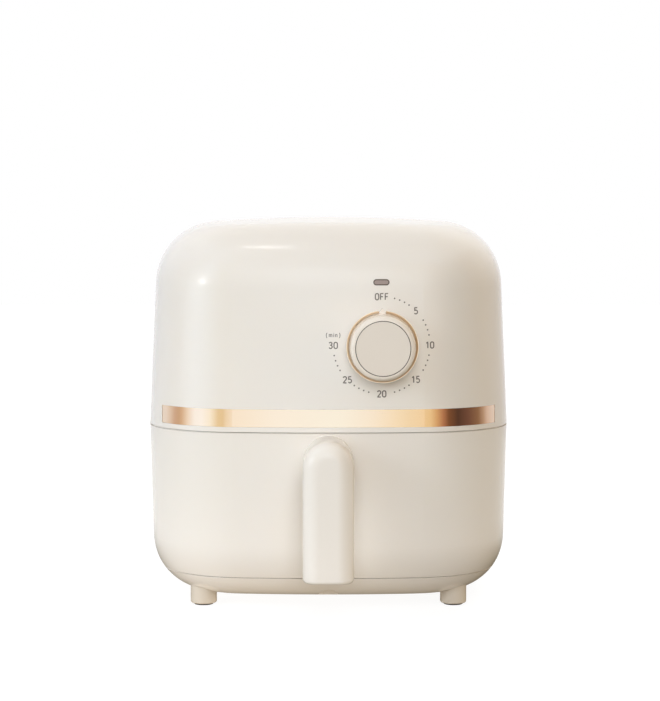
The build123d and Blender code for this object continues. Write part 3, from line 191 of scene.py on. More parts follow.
def new_group(name, inputs):
    """A finish group with a place and these inputs; returns its tree, its inputs and its outputs."""
    tree = bpy.data.node_groups.new(name, "ShaderNodeTree")
    for label, kind in [("Place", VECTOR)] + inputs:
        tree.interface.new_socket(label, in_out="INPUT", socket_type=kind)
    for label, kind in (("Color", COLOR), ("Roughness", FLOAT), ("Normal", VECTOR)):
        tree.interface.new_socket(label, in_out="OUTPUT", socket_type=kind)
    return tree, tree.nodes.new("NodeGroupInput").outputs, tree.nodes.new("NodeGroupOutput").inputs


def moulded_group():
    """Moulded plastic: faint flow tints, handling smudges in the gloss and a fine surface grain."""
    tree, given, out = new_group("moulded_plastic", [
        ("Color", COLOR), ("Tint", COLOR), ("Tint Amount", FLOAT), ("Smooth", FLOAT), ("Smudged", FLOAT),
        ("Grain Scale", FLOAT), ("Grain Depth", FLOAT), ("Grain Strength", FLOAT)])
    place = given["Place"]
    flow = ranged(tree, noise(tree, place, FLOW_WAVES, detail=3.0), 0.0, given["Tint Amount"])
    feed(tree, out["Color"], mixed(tree, flow, given["Color"], given["Tint"]))
    smudge = noise(tree, place, SMUDGE_WAVES, detail=5.0, rough=0.6)
    feed(tree, out["Roughness"], ranged(tree, smudge, given["Smooth"], given["Smudged"]))
    grain = noise(tree, place, given["Grain Scale"], detail=3.0, rough=0.55)
    feed(tree, out["Normal"], bumped(tree, grain, given["Grain Strength"], given["Grain Depth"]))
    return tree


def metal_group():
    """Rolled or drawn metal: fine lines along one axis, heat or handling tint, uneven gloss."""
    tree, given, out = new_group("worked_metal", [
        ("Color", COLOR), ("Tint", COLOR), ("Tint Amount", FLOAT), ("Smooth", FLOAT), ("Dull", FLOAT),
        ("Stretch", VECTOR), ("Line Scale", FLOAT), ("Line Depth", FLOAT), ("Line Strength", FLOAT)])
    place = given["Place"]
    stretched = wired(tree, "ShaderNodeVectorMath", {0: place, 1: given["Stretch"]}, operation="MULTIPLY")
    lines = noise(tree, stretched.outputs[0], given["Line Scale"], detail=4.0, rough=0.6)
    tint = ranged(tree, noise(tree, place, TINT_WAVES, detail=3.0), 0.0, given["Tint Amount"])
    feed(tree, out["Color"], mixed(tree, tint, given["Color"], given["Tint"]))
    feed(tree, out["Roughness"], ranged(tree, lines, given["Smooth"], given["Dull"]))
    feed(tree, out["Normal"], bumped(tree, lines, given["Line Strength"], given["Line Depth"]))
    return tree


def coating_group():
    """Sprayed non-stick coating: fine pale flecks in a dark ground over a soft orange peel."""
    tree, given, out = new_group("sprayed_coating", [
        ("Color", COLOR), ("Fleck", COLOR), ("Fleck Scale", FLOAT), ("Smooth", FLOAT), ("Dull", FLOAT),
        ("Peel Depth", FLOAT), ("Peel Strength", FLOAT)])
    place = given["Place"]
    flecks = ranged(tree, noise(tree, place, given["Fleck Scale"], detail=1.0), 0.0, 1.0, *FLECK_EDGE)
    feed(tree, out["Color"], mixed(tree, flecks, given["Color"], given["Fleck"]))
    patches = noise(tree, place, PATCH_WAVES, detail=4.0)
    feed(tree, out["Roughness"], ranged(tree, patches, given["Smooth"], given["Dull"]))
    peel = noise(tree, place, PEEL_WAVES)
    feed(tree, out["Normal"], bumped(tree, peel, given["Peel Strength"], given["Peel Depth"]))
    return tree


MOULDED = moulded_group()
METAL = metal_group()
COATING = coating_group()


# Materials. Each recipe gives the finish's name and its material. Colours are sRGB, 0 to 255: the main
# colour, then what it drifts to in patches.

def moulded(name, color, tint, smooth, smudged, grain=0.1, amount=0.3, scale=900.0, depth=0.01 * MM,
            **values):
    """Plastic or rubber whose roughness runs from smooth to smudged, with a grain of that strength."""
    shader = Shader(name)
    shader.set(**values)
    return name, shader.finished(
        MOULDED, Color=tone(*color), Tint=tone(*tint), Tint_Amount=amount, Smooth=smooth, Smudged=smudged,
        Grain_Scale=scale, Grain_Depth=depth, Grain_Strength=grain)


def worked(name, color, tint, smooth, dull, stretch=(1, 1, 1), lines=0.15, amount=0.3):
    """Metal whose lines run across the axis with the largest stretch."""
    shader = Shader(name)
    shader.set(Metallic=1.0)
    return name, shader.finished(
        METAL, Color=tone(*color), Tint=tone(*tint), Tint_Amount=amount, Smooth=smooth, Dull=dull,
        Stretch=stretch, Line_Scale=LINE_WAVES, Line_Depth=LINE_DEPTH, Line_Strength=lines)


def coated(name, color, fleck, smooth, dull):
    """Non-stick coating whose second colour is that of its flecks."""
    return name, Shader(name).finished(
        COATING, Color=tone(*color), Fleck=tone(*fleck), Fleck_Scale=FLECK_WAVES, Smooth=smooth, Dull=dull,
        Peel_Depth=PEEL_DEPTH, Peel_Strength=PEEL_STRENGTH)


def see_through(name, color, roughness):
    """Clear or smoky plastic with faint ripples."""
    shader = Shader(name)
    ripples = noise(shader.tree, shader.place, RIPPLE_WAVES)
    shader.set(Base_Color=tone(*color), Roughness=roughness, IOR=CLEAR_IOR, Transmission_Weight=1.0,
               Normal=bumped(shader.tree, ripples, RIPPLE_STRENGTH, RIPPLE_DEPTH))
    return name, shader.material


LACQUER = {"Coat_Weight": 0.35, "Coat_Roughness": 0.06}
FINISHES = dict([
    # Mouldings on the outside
    moulded("casing_cream", (236, 229, 219), (233, 225, 213), 0.20, 0.26, grain=0.03, **LACQUER,
            Subsurface_Weight=0.04, Subsurface_Radius=(0.004, 0.003, 0.002), Subsurface_Scale=1.0),
    # Handle: the casing's cream made a little lighter, painted light that brightens its front face
    moulded("handle_cream", (238, 231, 221), (236, 228, 218), 0.20, 0.26, grain=0.03, **LACQUER),
    moulded("knob_cream", (236, 225, 211), (234, 222, 207), 0.22, 0.25, grain=0.04, amount=0.2,
            Coat_Weight=0.25, Coat_Roughness=0.1),
    moulded("cap_cream", (229, 218, 204), (227, 215, 200), 0.21, 0.26, grain=0.04, amount=0.2),
    # Feet: the casing's cream darkened, a painted shade that copies the darker shading on the feet
    moulded("foot_cream", (211, 200, 184), (207, 196, 180), 0.22, 0.26, grain=0.04, amount=0.2),
    worked("trim_gold", (250, 230, 203), (248, 226, 198), 0.035, 0.06, (1, 1, 40), lines=0.02),
    # Rubber, lamp and dial
    moulded("foot_rubber", (58, 54, 50), (72, 67, 62), 0.6, 0.8, grain=0.4, scale=700.0, depth=0.05 * MM),
    moulded("silicone", (48, 48, 50), (58, 57, 58), 0.45, 0.6, grain=0.2),
    # Dark brown for the seal round the knob's cap, a painted shadow in that groove
    moulded("seal_brown", (76, 66, 56), (70, 60, 52), 0.45, 0.55),
    moulded("lamp_dark", (104, 90, 81), (92, 79, 71), 0.16, 0.24),
    moulded("lamp_window", (172, 153, 145), (146, 127, 119), 0.14, 0.24, grain=0.5, amount=0.9,
            scale=1500.0, depth=0.05 * MM, Subsurface_Weight=0.3,
            Subsurface_Radius=(0.002, 0.001, 0.001), Subsurface_Scale=1.0),
    see_through("lamp_glass", (240, 196, 160), 0.05),
    moulded("dial_ink", (112, 103, 95), (104, 95, 88), 0.4, 0.5),
    moulded("dial_ink_thin", (126, 118, 110), (118, 110, 102), 0.4, 0.5),
    # Inside
    moulded("liner_plastic", (52, 52, 54), (60, 60, 62), 0.42, 0.58, grain=0.55, scale=800.0,
            depth=0.04 * MM),
    moulded("white_plastic", (228, 226, 218), (216, 212, 200), 0.35, 0.5, grain=0.2),
    moulded("black_plastic", (34, 34, 35), (44, 43, 43), 0.34, 0.5, grain=0.3, scale=700.0),
    coated("pan_coating", (38, 38, 40), (92, 90, 88), 0.26, 0.42),
    worked("sheet_steel", (196, 196, 198), (176, 172, 166), 0.22, 0.42, (1, 30, 1)),
    worked("element_steel", (112, 104, 98), (128, 96, 70), 0.3, 0.5, amount=0.7),
    worked("screw_steel", (182, 182, 184), (150, 148, 140), 0.22, 0.4, (1, 1, 8)),
    worked("fan_aluminium", (214, 214, 216), (196, 196, 198), 0.2, 0.36, (1, 12, 1)),
    worked("bell_brass", (214, 186, 128), (182, 148, 96), 0.24, 0.4),
])
SLOT_OF = {row["node"]: row["material_slot"] for row in frame["record"]["subparts"]}
# Nodes that differ a little from the rest of their slot: the feet darker as painted shade, the handle a
# little lighter as painted light
OWN_FINISH = {"knob_cap": "cap_cream", "feet": "foot_cream", "handle": "handle_cream"}


def finish_cad_nodes():
    """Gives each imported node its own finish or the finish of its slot."""
    for name, node in NODES.items():
        node.data.materials.clear()
        node.data.materials.append(FINISHES[OWN_FINISH.get(name, SLOT_OF[name])])


finish_cad_nodes()


# Geometry Nodes helpers

def new_rule(name, inputs):
    """A Geometry Nodes tree with these inputs and one geometry output; returns all three."""
    tree = bpy.data.node_groups.new(name, "GeometryNodeTree")
    tree.is_modifier = True
    for label, kind in inputs:
        tree.interface.new_socket(label, in_out="INPUT", socket_type="NodeSocket" + kind)
    tree.interface.new_socket("Geometry", in_out="OUTPUT", socket_type="NodeSocketGeometry")
    out = tree.nodes.new("NodeGroupOutput").inputs["Geometry"]
    return tree, tree.nodes.new("NodeGroupInput").outputs, out


def grown(name, base, tree, slot, body, **values):
    """Runs a tree on an object's data and keeps the plain mesh as a piece of that body."""
    carrier = new_object(name + "_rule", base)
    modifier = carrier.modifiers.new("rule", "NODES")
    modifier.node_group = tree
    for socket in tree.interface.items_tree:
        label = socket.name.replace(" ", "_")
        if socket.in_out == "INPUT" and label in values:
            modifier[socket.identifier] = values[label]
    graph = bpy.context.evaluated_depsgraph_get()
    mesh = bpy.data.meshes.new_from_object(carrier.evaluated_get(graph), depsgraph=graph)
    carrier.modifiers.remove(modifier)
    bpy.data.objects.remove(carrier)
    piece = new_object(name, mesh)
    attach(piece, body)


def painted(tree, geometry, material):
    return wired(tree, "GeometryNodeSetMaterial", {"Geometry": geometry, "Material": material}).outputs[0]


def laid_on_casing(tree, geometry, casing, lift):
    """Stands a flat drawing upright and lays it on the casing's front, that far proud of it."""
    place = wired(tree, "GeometryNodeInputPosition").outputs[0]
    flat = wired(tree, "ShaderNodeSeparateXYZ", {0: place})
    start = wired(tree, "ShaderNodeCombineXYZ", {
        "X": flat.outputs["X"], "Y": -PRINT_RAY / 2, "Z": flat.outputs["Y"]})
    shell = wired(tree, "GeometryNodeObjectInfo", {"Object": casing}).outputs["Geometry"]
    hit = wired(tree, "GeometryNodeRaycast", {
        "Target Geometry": shell, "Source Position": start.outputs[0], "Ray Direction": (0, 1, 0),
        "Ray Length": PRINT_RAY})
    raised = wired(tree, "ShaderNodeVectorMath", {0: hit.outputs["Hit Position"], 1: lift}, operation="ADD")
    return wired(tree, "GeometryNodeSetPosition", {
        "Geometry": geometry, "Position": raised.outputs[0]}).outputs[0]


# Dial print: strokes of one width for the letters and round dots for the minutes between them

DIAL_NUMBERS = ("OFF", "5", "10", "15", "20", "25", "30")
DIAL_STEP = radians(45)
DIAL_OFF = (-0.4 * MM, 0.8 * MM)  # from the knob's axis
NUMBER_RADIUS = 30.9 * MM
NUMBER_HEIGHT = 3.95 * MM  # along the middle of the strokes
NUMBER_STROKE = 0.74 * MM
NUMBER_GAP = 1.1 * MM
UNIT_TEXT = "(min)"
UNIT_HEIGHT = 2.6 * MM
UNIT_STROKE = 0.48 * MM
UNIT_GAP = 1.08 * MM
UNIT_RISE = 5.3 * MM  # from the middle of the dial up to the foot of the word
STROKE_CUTS = 3  # in each straight stretch, so that the print follows the casing
DOTS_BETWEEN = 4  # between two numbers
DOT_CIRCLE = 30.9 * MM
DOT_STEP = radians(6.3)  # between two dots of a group
DOT_SHIFT = radians(2.6)  # of the groups beside the wide numbers at the top and the foot
DOT_RADIUS = 0.52 * MM
DOT_CORNERS = 14
PRINT_LIFT = 0.05 * MM
PRINT_RAY = 2.0  # from far in front of the casing to far behind it


def stroke_rule():
    """Flat strokes of one width along the curves, laid on the casing."""
    tree, given, out = new_rule("printed_strokes", [
        ("Strokes", "Geometry"), ("Stroke Width", "Float"), ("Casing", "Object"), ("Lift", "Vector"),
        ("Ink", "Material")])
    fine = wired(tree, "GeometryNodeSubdivideCurve", {"Curve": given["Strokes"], "Cuts": STROKE_CUTS})
    level = wired(tree, "GeometryNodeSetCurveNormal", {"Curve": fine.outputs[0]}, mode="Z_UP")
    half = maths(tree, "MULTIPLY", given["Stroke Width"], 0.5)
    other = maths(tree, "MULTIPLY", half, -1.0)
    nib = wired(tree, "GeometryNodeCurvePrimitiveLine", {
        "Start": wired(tree, "ShaderNodeCombineXYZ", {"X": other}).outputs[0],
        "End": wired(tree, "ShaderNodeCombineXYZ", {"X": half}).outputs[0]})
    drawn = wired(tree, "GeometryNodeCurveToMesh", {
        "Curve": level.outputs[0], "Profile Curve": nib.outputs[0]}).outputs[0]
    laid = laid_on_casing(tree, drawn, given["Casing"], given["Lift"])
    feed(tree, out, painted(tree, laid, given["Ink"]))
    return tree


def dot_rule():
    """Dots on an arc in equal groups, one group between each pair of numbers.

    The number at the top and the one at the foot are wide, so the groups stand a little away from them."""
    tree, given, out = new_rule("minute_dots", [
        ("Groups", "Int"), ("Dots In Group", "Int"), ("Group Angle", "Float"), ("Dot Angle", "Float"),
        ("Side Shift", "Float"), ("Radius", "Float"), ("Dot Radius", "Float"), ("Middle", "Vector"),
        ("Casing", "Object"), ("Lift", "Vector"), ("Ink", "Material")])
    index = wired(tree, "GeometryNodeInputIndex").outputs[0]
    group = maths(tree, "FLOOR", maths(tree, "DIVIDE", index, given["Dots In Group"]))
    turn = maths(tree, "MULTIPLY", maths(tree, "ADD", group, 0.5), given["Group Angle"])
    side = maths(tree, "MULTIPLY", maths(tree, "COSINE", turn),
                 maths(tree, "SIGN", maths(tree, "SINE", turn)))
    turn = maths(tree, "ADD", turn, maths(tree, "MULTIPLY", side, given["Side Shift"]))
    within = maths(tree, "MODULO", index, given["Dots In Group"])
    off_middle = maths(tree, "MULTIPLY", maths(tree, "SUBTRACT", given["Dots In Group"], 1.0), -0.5)
    angle = maths(tree, "ADD", turn,
                  maths(tree, "MULTIPLY", maths(tree, "ADD", within, off_middle), given["Dot Angle"]))
    around = wired(tree, "ShaderNodeCombineXYZ", {
        "X": maths(tree, "MULTIPLY", maths(tree, "SINE", angle), given["Radius"]),
        "Y": maths(tree, "MULTIPLY", maths(tree, "COSINE", angle), given["Radius"])}).outputs[0]
    place = wired(tree, "ShaderNodeVectorMath", {0: around, 1: given["Middle"]}, operation="ADD")
    count = maths(tree, "MULTIPLY", given["Groups"], given["Dots In Group"])
    points = wired(tree, "GeometryNodePoints", {"Count": count, "Position": place.outputs[0]})
    dot = wired(tree, "GeometryNodeMeshCircle", {
        "Vertices": DOT_CORNERS, "Radius": given["Dot Radius"]}, fill_type="NGON")
    spread = wired(tree, "GeometryNodeInstanceOnPoints", {
        "Points": points.outputs[0], "Instance": dot.outputs[0]})
    real = wired(tree, "GeometryNodeRealizeInstances", {"Geometry": spread.outputs[0]}).outputs[0]
    laid = laid_on_casing(tree, real, given["Casing"], given["Lift"])
    feed(tree, out, painted(tree, laid, given["Ink"]))
    return tree


def arc(x, y, wide, tall, start, end, steps=10):
    """Points on part of an oval, in degrees from the right, counterclockwise."""
    turns = [radians(start + (end - start) * step / steps) for step in range(steps + 1)]
    return [(x + wide * cos(turn), y + tall * sin(turn)) for turn in turns]


def stadium(half):
    return arc(0, 1 - half, half, half, 180, 0) + arc(0, half, half, half, 0, -180)


# Each letter as strokes on a body one high, the last number its half width; True closes the stroke
HALF = 0.27  # of a round letter
LETTERS = {
    "0": ([(stadium(HALF), True)], HALF),
    "O": ([(stadium(HALF), True)], HALF),
    "1": ([([(-0.2, 0.78), (0.06, 1.0), (0.06, 0.0)], False)], 0.2),
    "2": ([(arc(0, 0.74, HALF, 0.26, 165, -28) + [(-HALF, 0.0), (HALF, 0.0)], False)], HALF),
    "3": ([(arc(-0.01, 0.76, 0.23, 0.24, 155, -90), False),
           (arc(-0.01, 0.27, 0.26, 0.27, 90, -155), False),
           ([(-0.1, 0.525), (0.0, 0.53)], False)], HALF),
    "5": ([([(0.22, 1.0), (-0.19, 1.0), (-0.21, 0.54)] + arc(-0.01, 0.31, 0.26, 0.31, 125, -150), False)],
          HALF),
    "F": ([([(-0.22, 0.0), (-0.22, 1.0), (0.24, 1.0)], False), ([(-0.22, 0.5), (0.18, 0.5)], False)], 0.24),
    "m": ([([(-0.34, 0.0), (-0.34, 0.68)], False),
           (arc(-0.17, 0.5, 0.17, 0.17, 170, 0) + [(0.0, 0.0)], False),
           (arc(0.17, 0.5, 0.17, 0.17, 170, 0) + [(0.34, 0.0)], False)], 0.34),
    "i": ([([(0.0, 0.0), (0.0, 0.68)], False), ([(0.0, 0.86), (0.0, 1.0)], False)], 0.02),
    "n": ([([(-0.19, 0.0), (-0.19, 0.68)], False),
           (arc(0.0, 0.49, 0.19, 0.18, 170, 0) + [(0.19, 0.0)], False)], 0.19),
    "(": ([(arc(0.2, 0.4, 0.34, 0.7, 115, 245), False)], 0.16),
    ")": ([(arc(-0.2, 0.4, 0.34, 0.7, 65, -65), False)], 0.16),
}


def written(words):
    """One flat curve for words given as (text, middle x, foot y, height, gap between letters)."""
    curve = bpy.data.curves.new("writing", "CURVE")
    for text, middle, foot, height, gap in words:
        wide = sum(2 * LETTERS[letter][1] for letter in text) * height + gap * (len(text) - 1)
        pen = middle - wide / 2
        for letter in text:
            strokes, half = LETTERS[letter]
            pen += half * height
            for points, closed in strokes:
                line = curve.splines.new("POLY")
                line.points.add(len(points) - 1)
                line.use_cyclic_u = closed
                for point, (x, y) in zip(line.points, points):
                    point.co = (pen + x * height, foot + y * height, 0, 1)
            pen += half * height + gap
    return curve


def make_dial_print():
    low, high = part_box("knob_ring")
    middle = Vector(((low.x + high.x) / 2 + DIAL_OFF[0], (low.z + high.z) / 2 + DIAL_OFF[1], 0))
    laid = {"Casing": NODES["top_housing"], "Lift": (0, -PRINT_LIFT, 0)}
    numbers = []
    for number, text in enumerate(DIAL_NUMBERS):
        x = middle.x + NUMBER_RADIUS * sin(number * DIAL_STEP)
        foot = middle.y + NUMBER_RADIUS * cos(number * DIAL_STEP) - NUMBER_HEIGHT / 2
        numbers.append((text, x, foot, NUMBER_HEIGHT, NUMBER_GAP))
    unit = [(UNIT_TEXT, middle.x - NUMBER_RADIUS, middle.y + UNIT_RISE, UNIT_HEIGHT, UNIT_GAP)]
    strokes = stroke_rule()
    grown("dial_numbers", written(numbers), strokes, "lamp_dark", "housing",
          Stroke_Width=NUMBER_STROKE, Ink=FINISHES["dial_ink"], **laid)
    grown("dial_unit", written(unit), strokes, "lamp_dark", "housing",
          Stroke_Width=UNIT_STROKE, Ink=FINISHES["dial_ink_thin"], **laid)
    grown("dial_dots", bpy.data.meshes.new("dots"), dot_rule(), "lamp_dark", "housing",
          Groups=len(DIAL_NUMBERS) - 1, Dots_In_Group=DOTS_BETWEEN, Group_Angle=DIAL_STEP,
          Dot_Angle=DOT_STEP, Side_Shift=DOT_SHIFT, Radius=DOT_CIRCLE, Dot_Radius=DOT_RADIUS,
          Middle=middle, Ink=FINISHES["dial_ink"], **laid)


make_dial_print()


# Dark seal in the joint round the knob's cap: a painted shadow, dark brown where the groove there would be
# in shade

SEAL_WIDTH = 0.62 * MM
SEAL_DEPTH = 0.6 * MM
SEAL_PROUD = 0.03 * MM
SEAL_OUT = 0.17 * MM  # from the cap's edge to the middle of the seal
SEAL_ROUND = 0.2  # radius of the seal's edges, as a share of its width
SEAL_STEPS = 160


def seal_rule():
    """Upright ring of a rectangular section with rounded edges."""
    tree, given, out = new_rule("round_seal", [
        ("Radius", "Float"), ("Width", "Float"), ("Depth", "Float"), ("Middle", "Vector"),
        ("Rubber", "Material")])
    path = wired(tree, "GeometryNodeCurvePrimitiveCircle", {
        "Resolution": SEAL_STEPS, "Radius": given["Radius"]})
    section = wired(tree, "GeometryNodeCurvePrimitiveQuadrilateral", {
        "Width": given["Width"], "Height": given["Depth"]})
    soft = wired(tree, "GeometryNodeFilletCurve", {
        "Curve": section.outputs[0], "Radius": maths(tree, "MULTIPLY", given["Width"], SEAL_ROUND)},
        mode="POLY")
    ring = wired(tree, "GeometryNodeCurveToMesh", {
        "Curve": path.outputs[0], "Profile Curve": soft.outputs[0]})
    upright = wired(tree, "GeometryNodeTransform", {
        "Geometry": ring.outputs[0], "Translation": given["Middle"], "Rotation": (pi / 2, 0, 0)})
    feed(tree, out, painted(tree, upright.outputs[0], given["Rubber"]))
    return tree


def make_cap_shadow_seal():
    low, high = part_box("knob_cap")
    middle = Vector(((low.x + high.x) / 2, low.y + SEAL_DEPTH / 2 - SEAL_PROUD, (low.z + high.z) / 2))
    # The seal's dark brown stands in for the shadow in the groove round the cap (painted shadow)
    grown("cap_seal", bpy.data.meshes.new("seal"), seal_rule(), "silicone", "knob",
          Radius=(high.x - low.x) / 2 + SEAL_OUT, Width=SEAL_WIDTH, Depth=SEAL_DEPTH, Middle=middle,
          Rubber=FINISHES["seal_brown"])


make_cap_shadow_seal()


# Low lip on the sill, just behind its surface, that closes the seam under the drawer front

LIP_STEPS = 120
LIP_TURN = radians(68)  # how far it reaches round to each side
LIP_UNDER = 1.0 * MM  # where the sill's outline is taken, under the drawer front's lower edge
LIP_OUTER, LIP_INNER = -0.1 * MM, 0.8 * MM  # behind that outline
LIP_FOOT, LIP_TOP = 0.15 * MM, 0.92 * MM  # above the height of that outline
LIP_SECTION = [(LIP_OUTER, LIP_FOOT), (LIP_INNER, LIP_FOOT), (LIP_INNER, LIP_TOP), (LIP_OUTER, LIP_TOP)]
LIP_RAY = 0.3  # from well outside the casing to its middle


def sill_outline(middle):
    """Points on the sill round its front at that height, each with the direction that faces outwards."""
    casing = NODES["lower_housing"]
    outline = []
    for index in range(LIP_STEPS + 1):
        turn = LIP_TURN * (2 * index / LIP_STEPS - 1)
        inward = Vector((-sin(turn), cos(turn), 0))
        start = casing.matrix_world.inverted() @ (middle - LIP_RAY * inward)
        struck, place, normal, _ = casing.ray_cast(start, inward)
        if struck:
            outline.append((casing.matrix_world @ place, Vector((normal.x, normal.y, 0)).normalized()))
    return outline


def make_sill_lip():
    low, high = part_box("lower_housing")
    middle = Vector(((low.x + high.x) / 2, (low.y + high.y) / 2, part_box("drawer_front")[0].z - LIP_UNDER))
    points = []
    for place, outward in sill_outline(middle):
        for inset, rise in LIP_SECTION:
            points.append((place.x - outward.x * inset, place.y - outward.y * inset, middle.z + rise))
    sides = len(LIP_SECTION)
    faces = []
    for first in range(0, len(points) - sides, sides):
        for side in range(sides):
            here, beside = first + side, first + (side + 1) % sides
            faces.append((here, beside, beside + sides, here + sides))
    faces += [tuple(range(sides))[::-1], tuple(range(len(points) - sides, len(points)))]
    lip = new_object("sill_lip", new_mesh("sill_lip", points, faces))
    lip.data.materials.append(FINISHES["casing_cream"])
    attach(lip, "housing")


make_sill_lip()


# Room: camera, floor, daylight, lamps and the ring of cards round the object

CAMERA_X = 1 * MM
CAMERA_AWAY = 1266 * MM  # from the foremost point of the drawer front
CAMERA_Z = 261 * MM
CAMERA_TILT = radians(4.07)  # downwards
CAMERA_LENS = 102.7
CAMERA_SENSOR = 36
BODY_MIDDLE = 130 * MM
LAMP_AWAY = 1.4
SHEEN_AWAY = 0.85  # inside the ring of cards
CARD_AWAY = 0.9
CARD_LIGHT = 1.025
CARD_HEIGHTS = (-0.2, 1.0)
CARD_STEPS = 96
# What the ring of cards gives off at each azimuth in degrees, 0 in front and positive to the right
CARD_TONES = [
    (-180, (0.95, 0.95, 0.97)), (-130, (0.83, 0.85, 0.93)), (-104, (0.81, 0.79, 0.84)),
    (-96, (0.74, 0.66, 0.64)), (-88, (0.63, 0.47, 0.40)), (-82, (0.61, 0.445, 0.34)),
    (-77, (0.70, 0.53, 0.41)), (-69, (0.88, 0.82, 0.80)), (-60, (0.98, 1.05, 1.21)),
    (-52, (1.0, 1.08, 1.25)), (-42, (0.97, 1.0, 1.0)), (-33, (0.82, 0.70, 0.50)),
    (-28, (0.81, 0.68, 0.48)), (-20, (0.96, 0.94, 0.92)), (-10, (0.99, 1.04, 1.12)),
    (2, (0.98, 1.07, 1.16)), (8, (0.965, 0.98, 1.0)), (12, (0.95, 0.90, 0.80)),
    (15, (0.91, 0.82, 0.66)), (18, (0.90, 0.74, 0.52)), (24, (0.82, 0.64, 0.40)),
    (31, (0.67, 0.43, 0.23)), (38, (0.44, 0.21, 0.12)), (44, (0.20, 0.09, 0.047)),
    (55, (0.09, 0.047, 0.034)), (68, (0.16, 0.08, 0.06)), (82, (0.26, 0.15, 0.094)),
    (90, (0.45, 0.32, 0.25)), (97, (0.66, 0.54, 0.51)), (108, (0.73, 0.68, 0.70)),
    (122, (0.74, 0.72, 0.76)), (180, (0.95, 0.95, 0.97))]

FLOOR_HALF = 4.0
FLOOR_SHADE = 0.15  # share of the floor's white that takes shadows
FLOOR_LIT = 0.9  # how white the floor is by itself round the object; further off it is all white
FLOOR_FADE = (0.25, 0.7)  # distances from the middle where a change starts and ends, as are the next four
GLOW_TURN = (0.11, 0.15)
GLOW_FALL = (0.20, 0.25)
GLOW_END = (0.6, 0.8)
MIRROR_SHADE_FADE = (0.14, 0.36)
GLOW_UNDER = (0.64, 0.57, 0.48)  # what the floor throws up: under the object, round it and further off
GLOW_ROUND = (0.62, 0.57, 0.52)
GLOW_FAR = (0.24, 0.21, 0.13)
GLOW_LEFT, GLOW_RIGHT = 1.65, 0.55  # strength of the glow on each side
GLOW_WIDE = 0.15  # distance from the middle at which a side has its full value
MIRROR_SHADE_UNDER = (0.1, 0.08, 0.05)  # what a gloss shows of the floor under the object: a painted shadow, darker than the white further off
SKY_ABOVE = (0.54, 0.51, 0.48)
SKY_RIGHT = (1.20, 0.90, 0.46)
SKY_SIDE = (0.55, 0.85)  # X of the directions where the warm light starts and is full
SKY_RISE = (0.4, 0.6)  # Z of the directions where the sky starts and is full
BLACK, WHITE = (0, 0, 0), (1, 1, 1)

# Lamps: azimuth and elevation in degrees, width and height, watts, colour
LAMPS = {
    "window": (-70, 0, (0.7, 0.7), 8.4, (0.77, 0.87, 1.0)),
    "key": (-55, 20, (0.35, 0.35), 4.4, (0.85, 0.92, 1.0)),
    "front": (3, 20, (0.7, 0.7), 9.7, (0.90, 0.94, 1.0)),
    "back_left": (-145, 35, (0.7, 0.7), 7.5, (1.0, 0.94, 0.86)),
    "back_right": (145, 35, (0.7, 0.7), 12.5, (0.84, 0.93, 1.0)),
}
# Lamps that only glossy surfaces see, with their distance last
SHEENS = {
    "sheen_left": (-55, 15, (0.1, 0.1), 0.30, WHITE, SHEEN_AWAY),
    "sheen_above": (-34, 73, (0.2, 0.07), 0.36, WHITE, LAMP_AWAY),
}


def seen_whole(tree):
    """1 for rays from the camera, reflections and clear plastic, which all see the white room.

    The second value is 1 for rays from the camera alone."""
    path = wired(tree, "ShaderNodeLightPath").outputs
    seen = maths(tree, "MAXIMUM", path["Is Camera Ray"], path["Is Transmission Ray"])
    return maths(tree, "MAXIMUM", seen, path["Is Glossy Ray"]), path["Is Camera Ray"]


def floor_finish():
    """White to the camera, with a faint shadow; to soft light a warm glow that ends some way off.

    Gloss sees the white too, but with a painted shadow under the object."""
    shader = Shader("floor_white")
    tree = shader.tree
    seen, camera = seen_whole(tree)
    reach = wired(tree, "ShaderNodeVectorMath", {0: shader.place}, operation="LENGTH").outputs["Value"]
    white, black = plain_color(tree, WHITE), plain_color(tree, BLACK)

    def outwards(fade, inner, outer):
        return mixed(tree, ranged(tree, reach, 0.0, 1.0, *fade), inner, outer)

    glow = outwards(GLOW_TURN, plain_color(tree, GLOW_UNDER), plain_color(tree, GLOW_ROUND))
    glow = outwards(GLOW_FALL, glow, plain_color(tree, GLOW_FAR))
    glow = outwards(GLOW_END, glow, black)
    # Painted shadow: reflections show the floor dark under the object and white further off
    mirrored_shade = outwards(MIRROR_SHADE_FADE, plain_color(tree, MIRROR_SHADE_UNDER), white)
    shade = plain_color(tree, (FLOOR_SHADE, FLOOR_SHADE, FLOOR_SHADE))
    across = wired(tree, "ShaderNodeSeparateXYZ", {0: shader.place}).outputs["X"]
    lean = ranged(tree, across, GLOW_LEFT, GLOW_RIGHT, -GLOW_WIDE, GLOW_WIDE)
    unseen = ranged(tree, seen, lean, 1.0, 0.0, 1.0)
    lit = ranged(tree, reach, FLOOR_LIT, 1.0, *FLOOR_FADE)
    shader.set(
        Roughness=0.9, Specular_IOR_Level=0.0, Base_Color=mixed(tree, camera, black, shade),
        Emission_Color=mixed(tree, seen, glow, mixed(tree, camera, mirrored_shade, white)),
        Emission_Strength=ranged(tree, camera, unseen, lit, 0.0, 1.0))
    return shader.material


def make_floor():
    corners = [(x * FLOOR_HALF, y * FLOOR_HALF, 0) for x, y in ((-1, -1), (1, -1), (1, 1), (-1, 1))]
    floor = new_object("floor", new_mesh("floor", corners, [(0, 1, 2, 3)]))
    floor.data.materials.append(floor_finish())


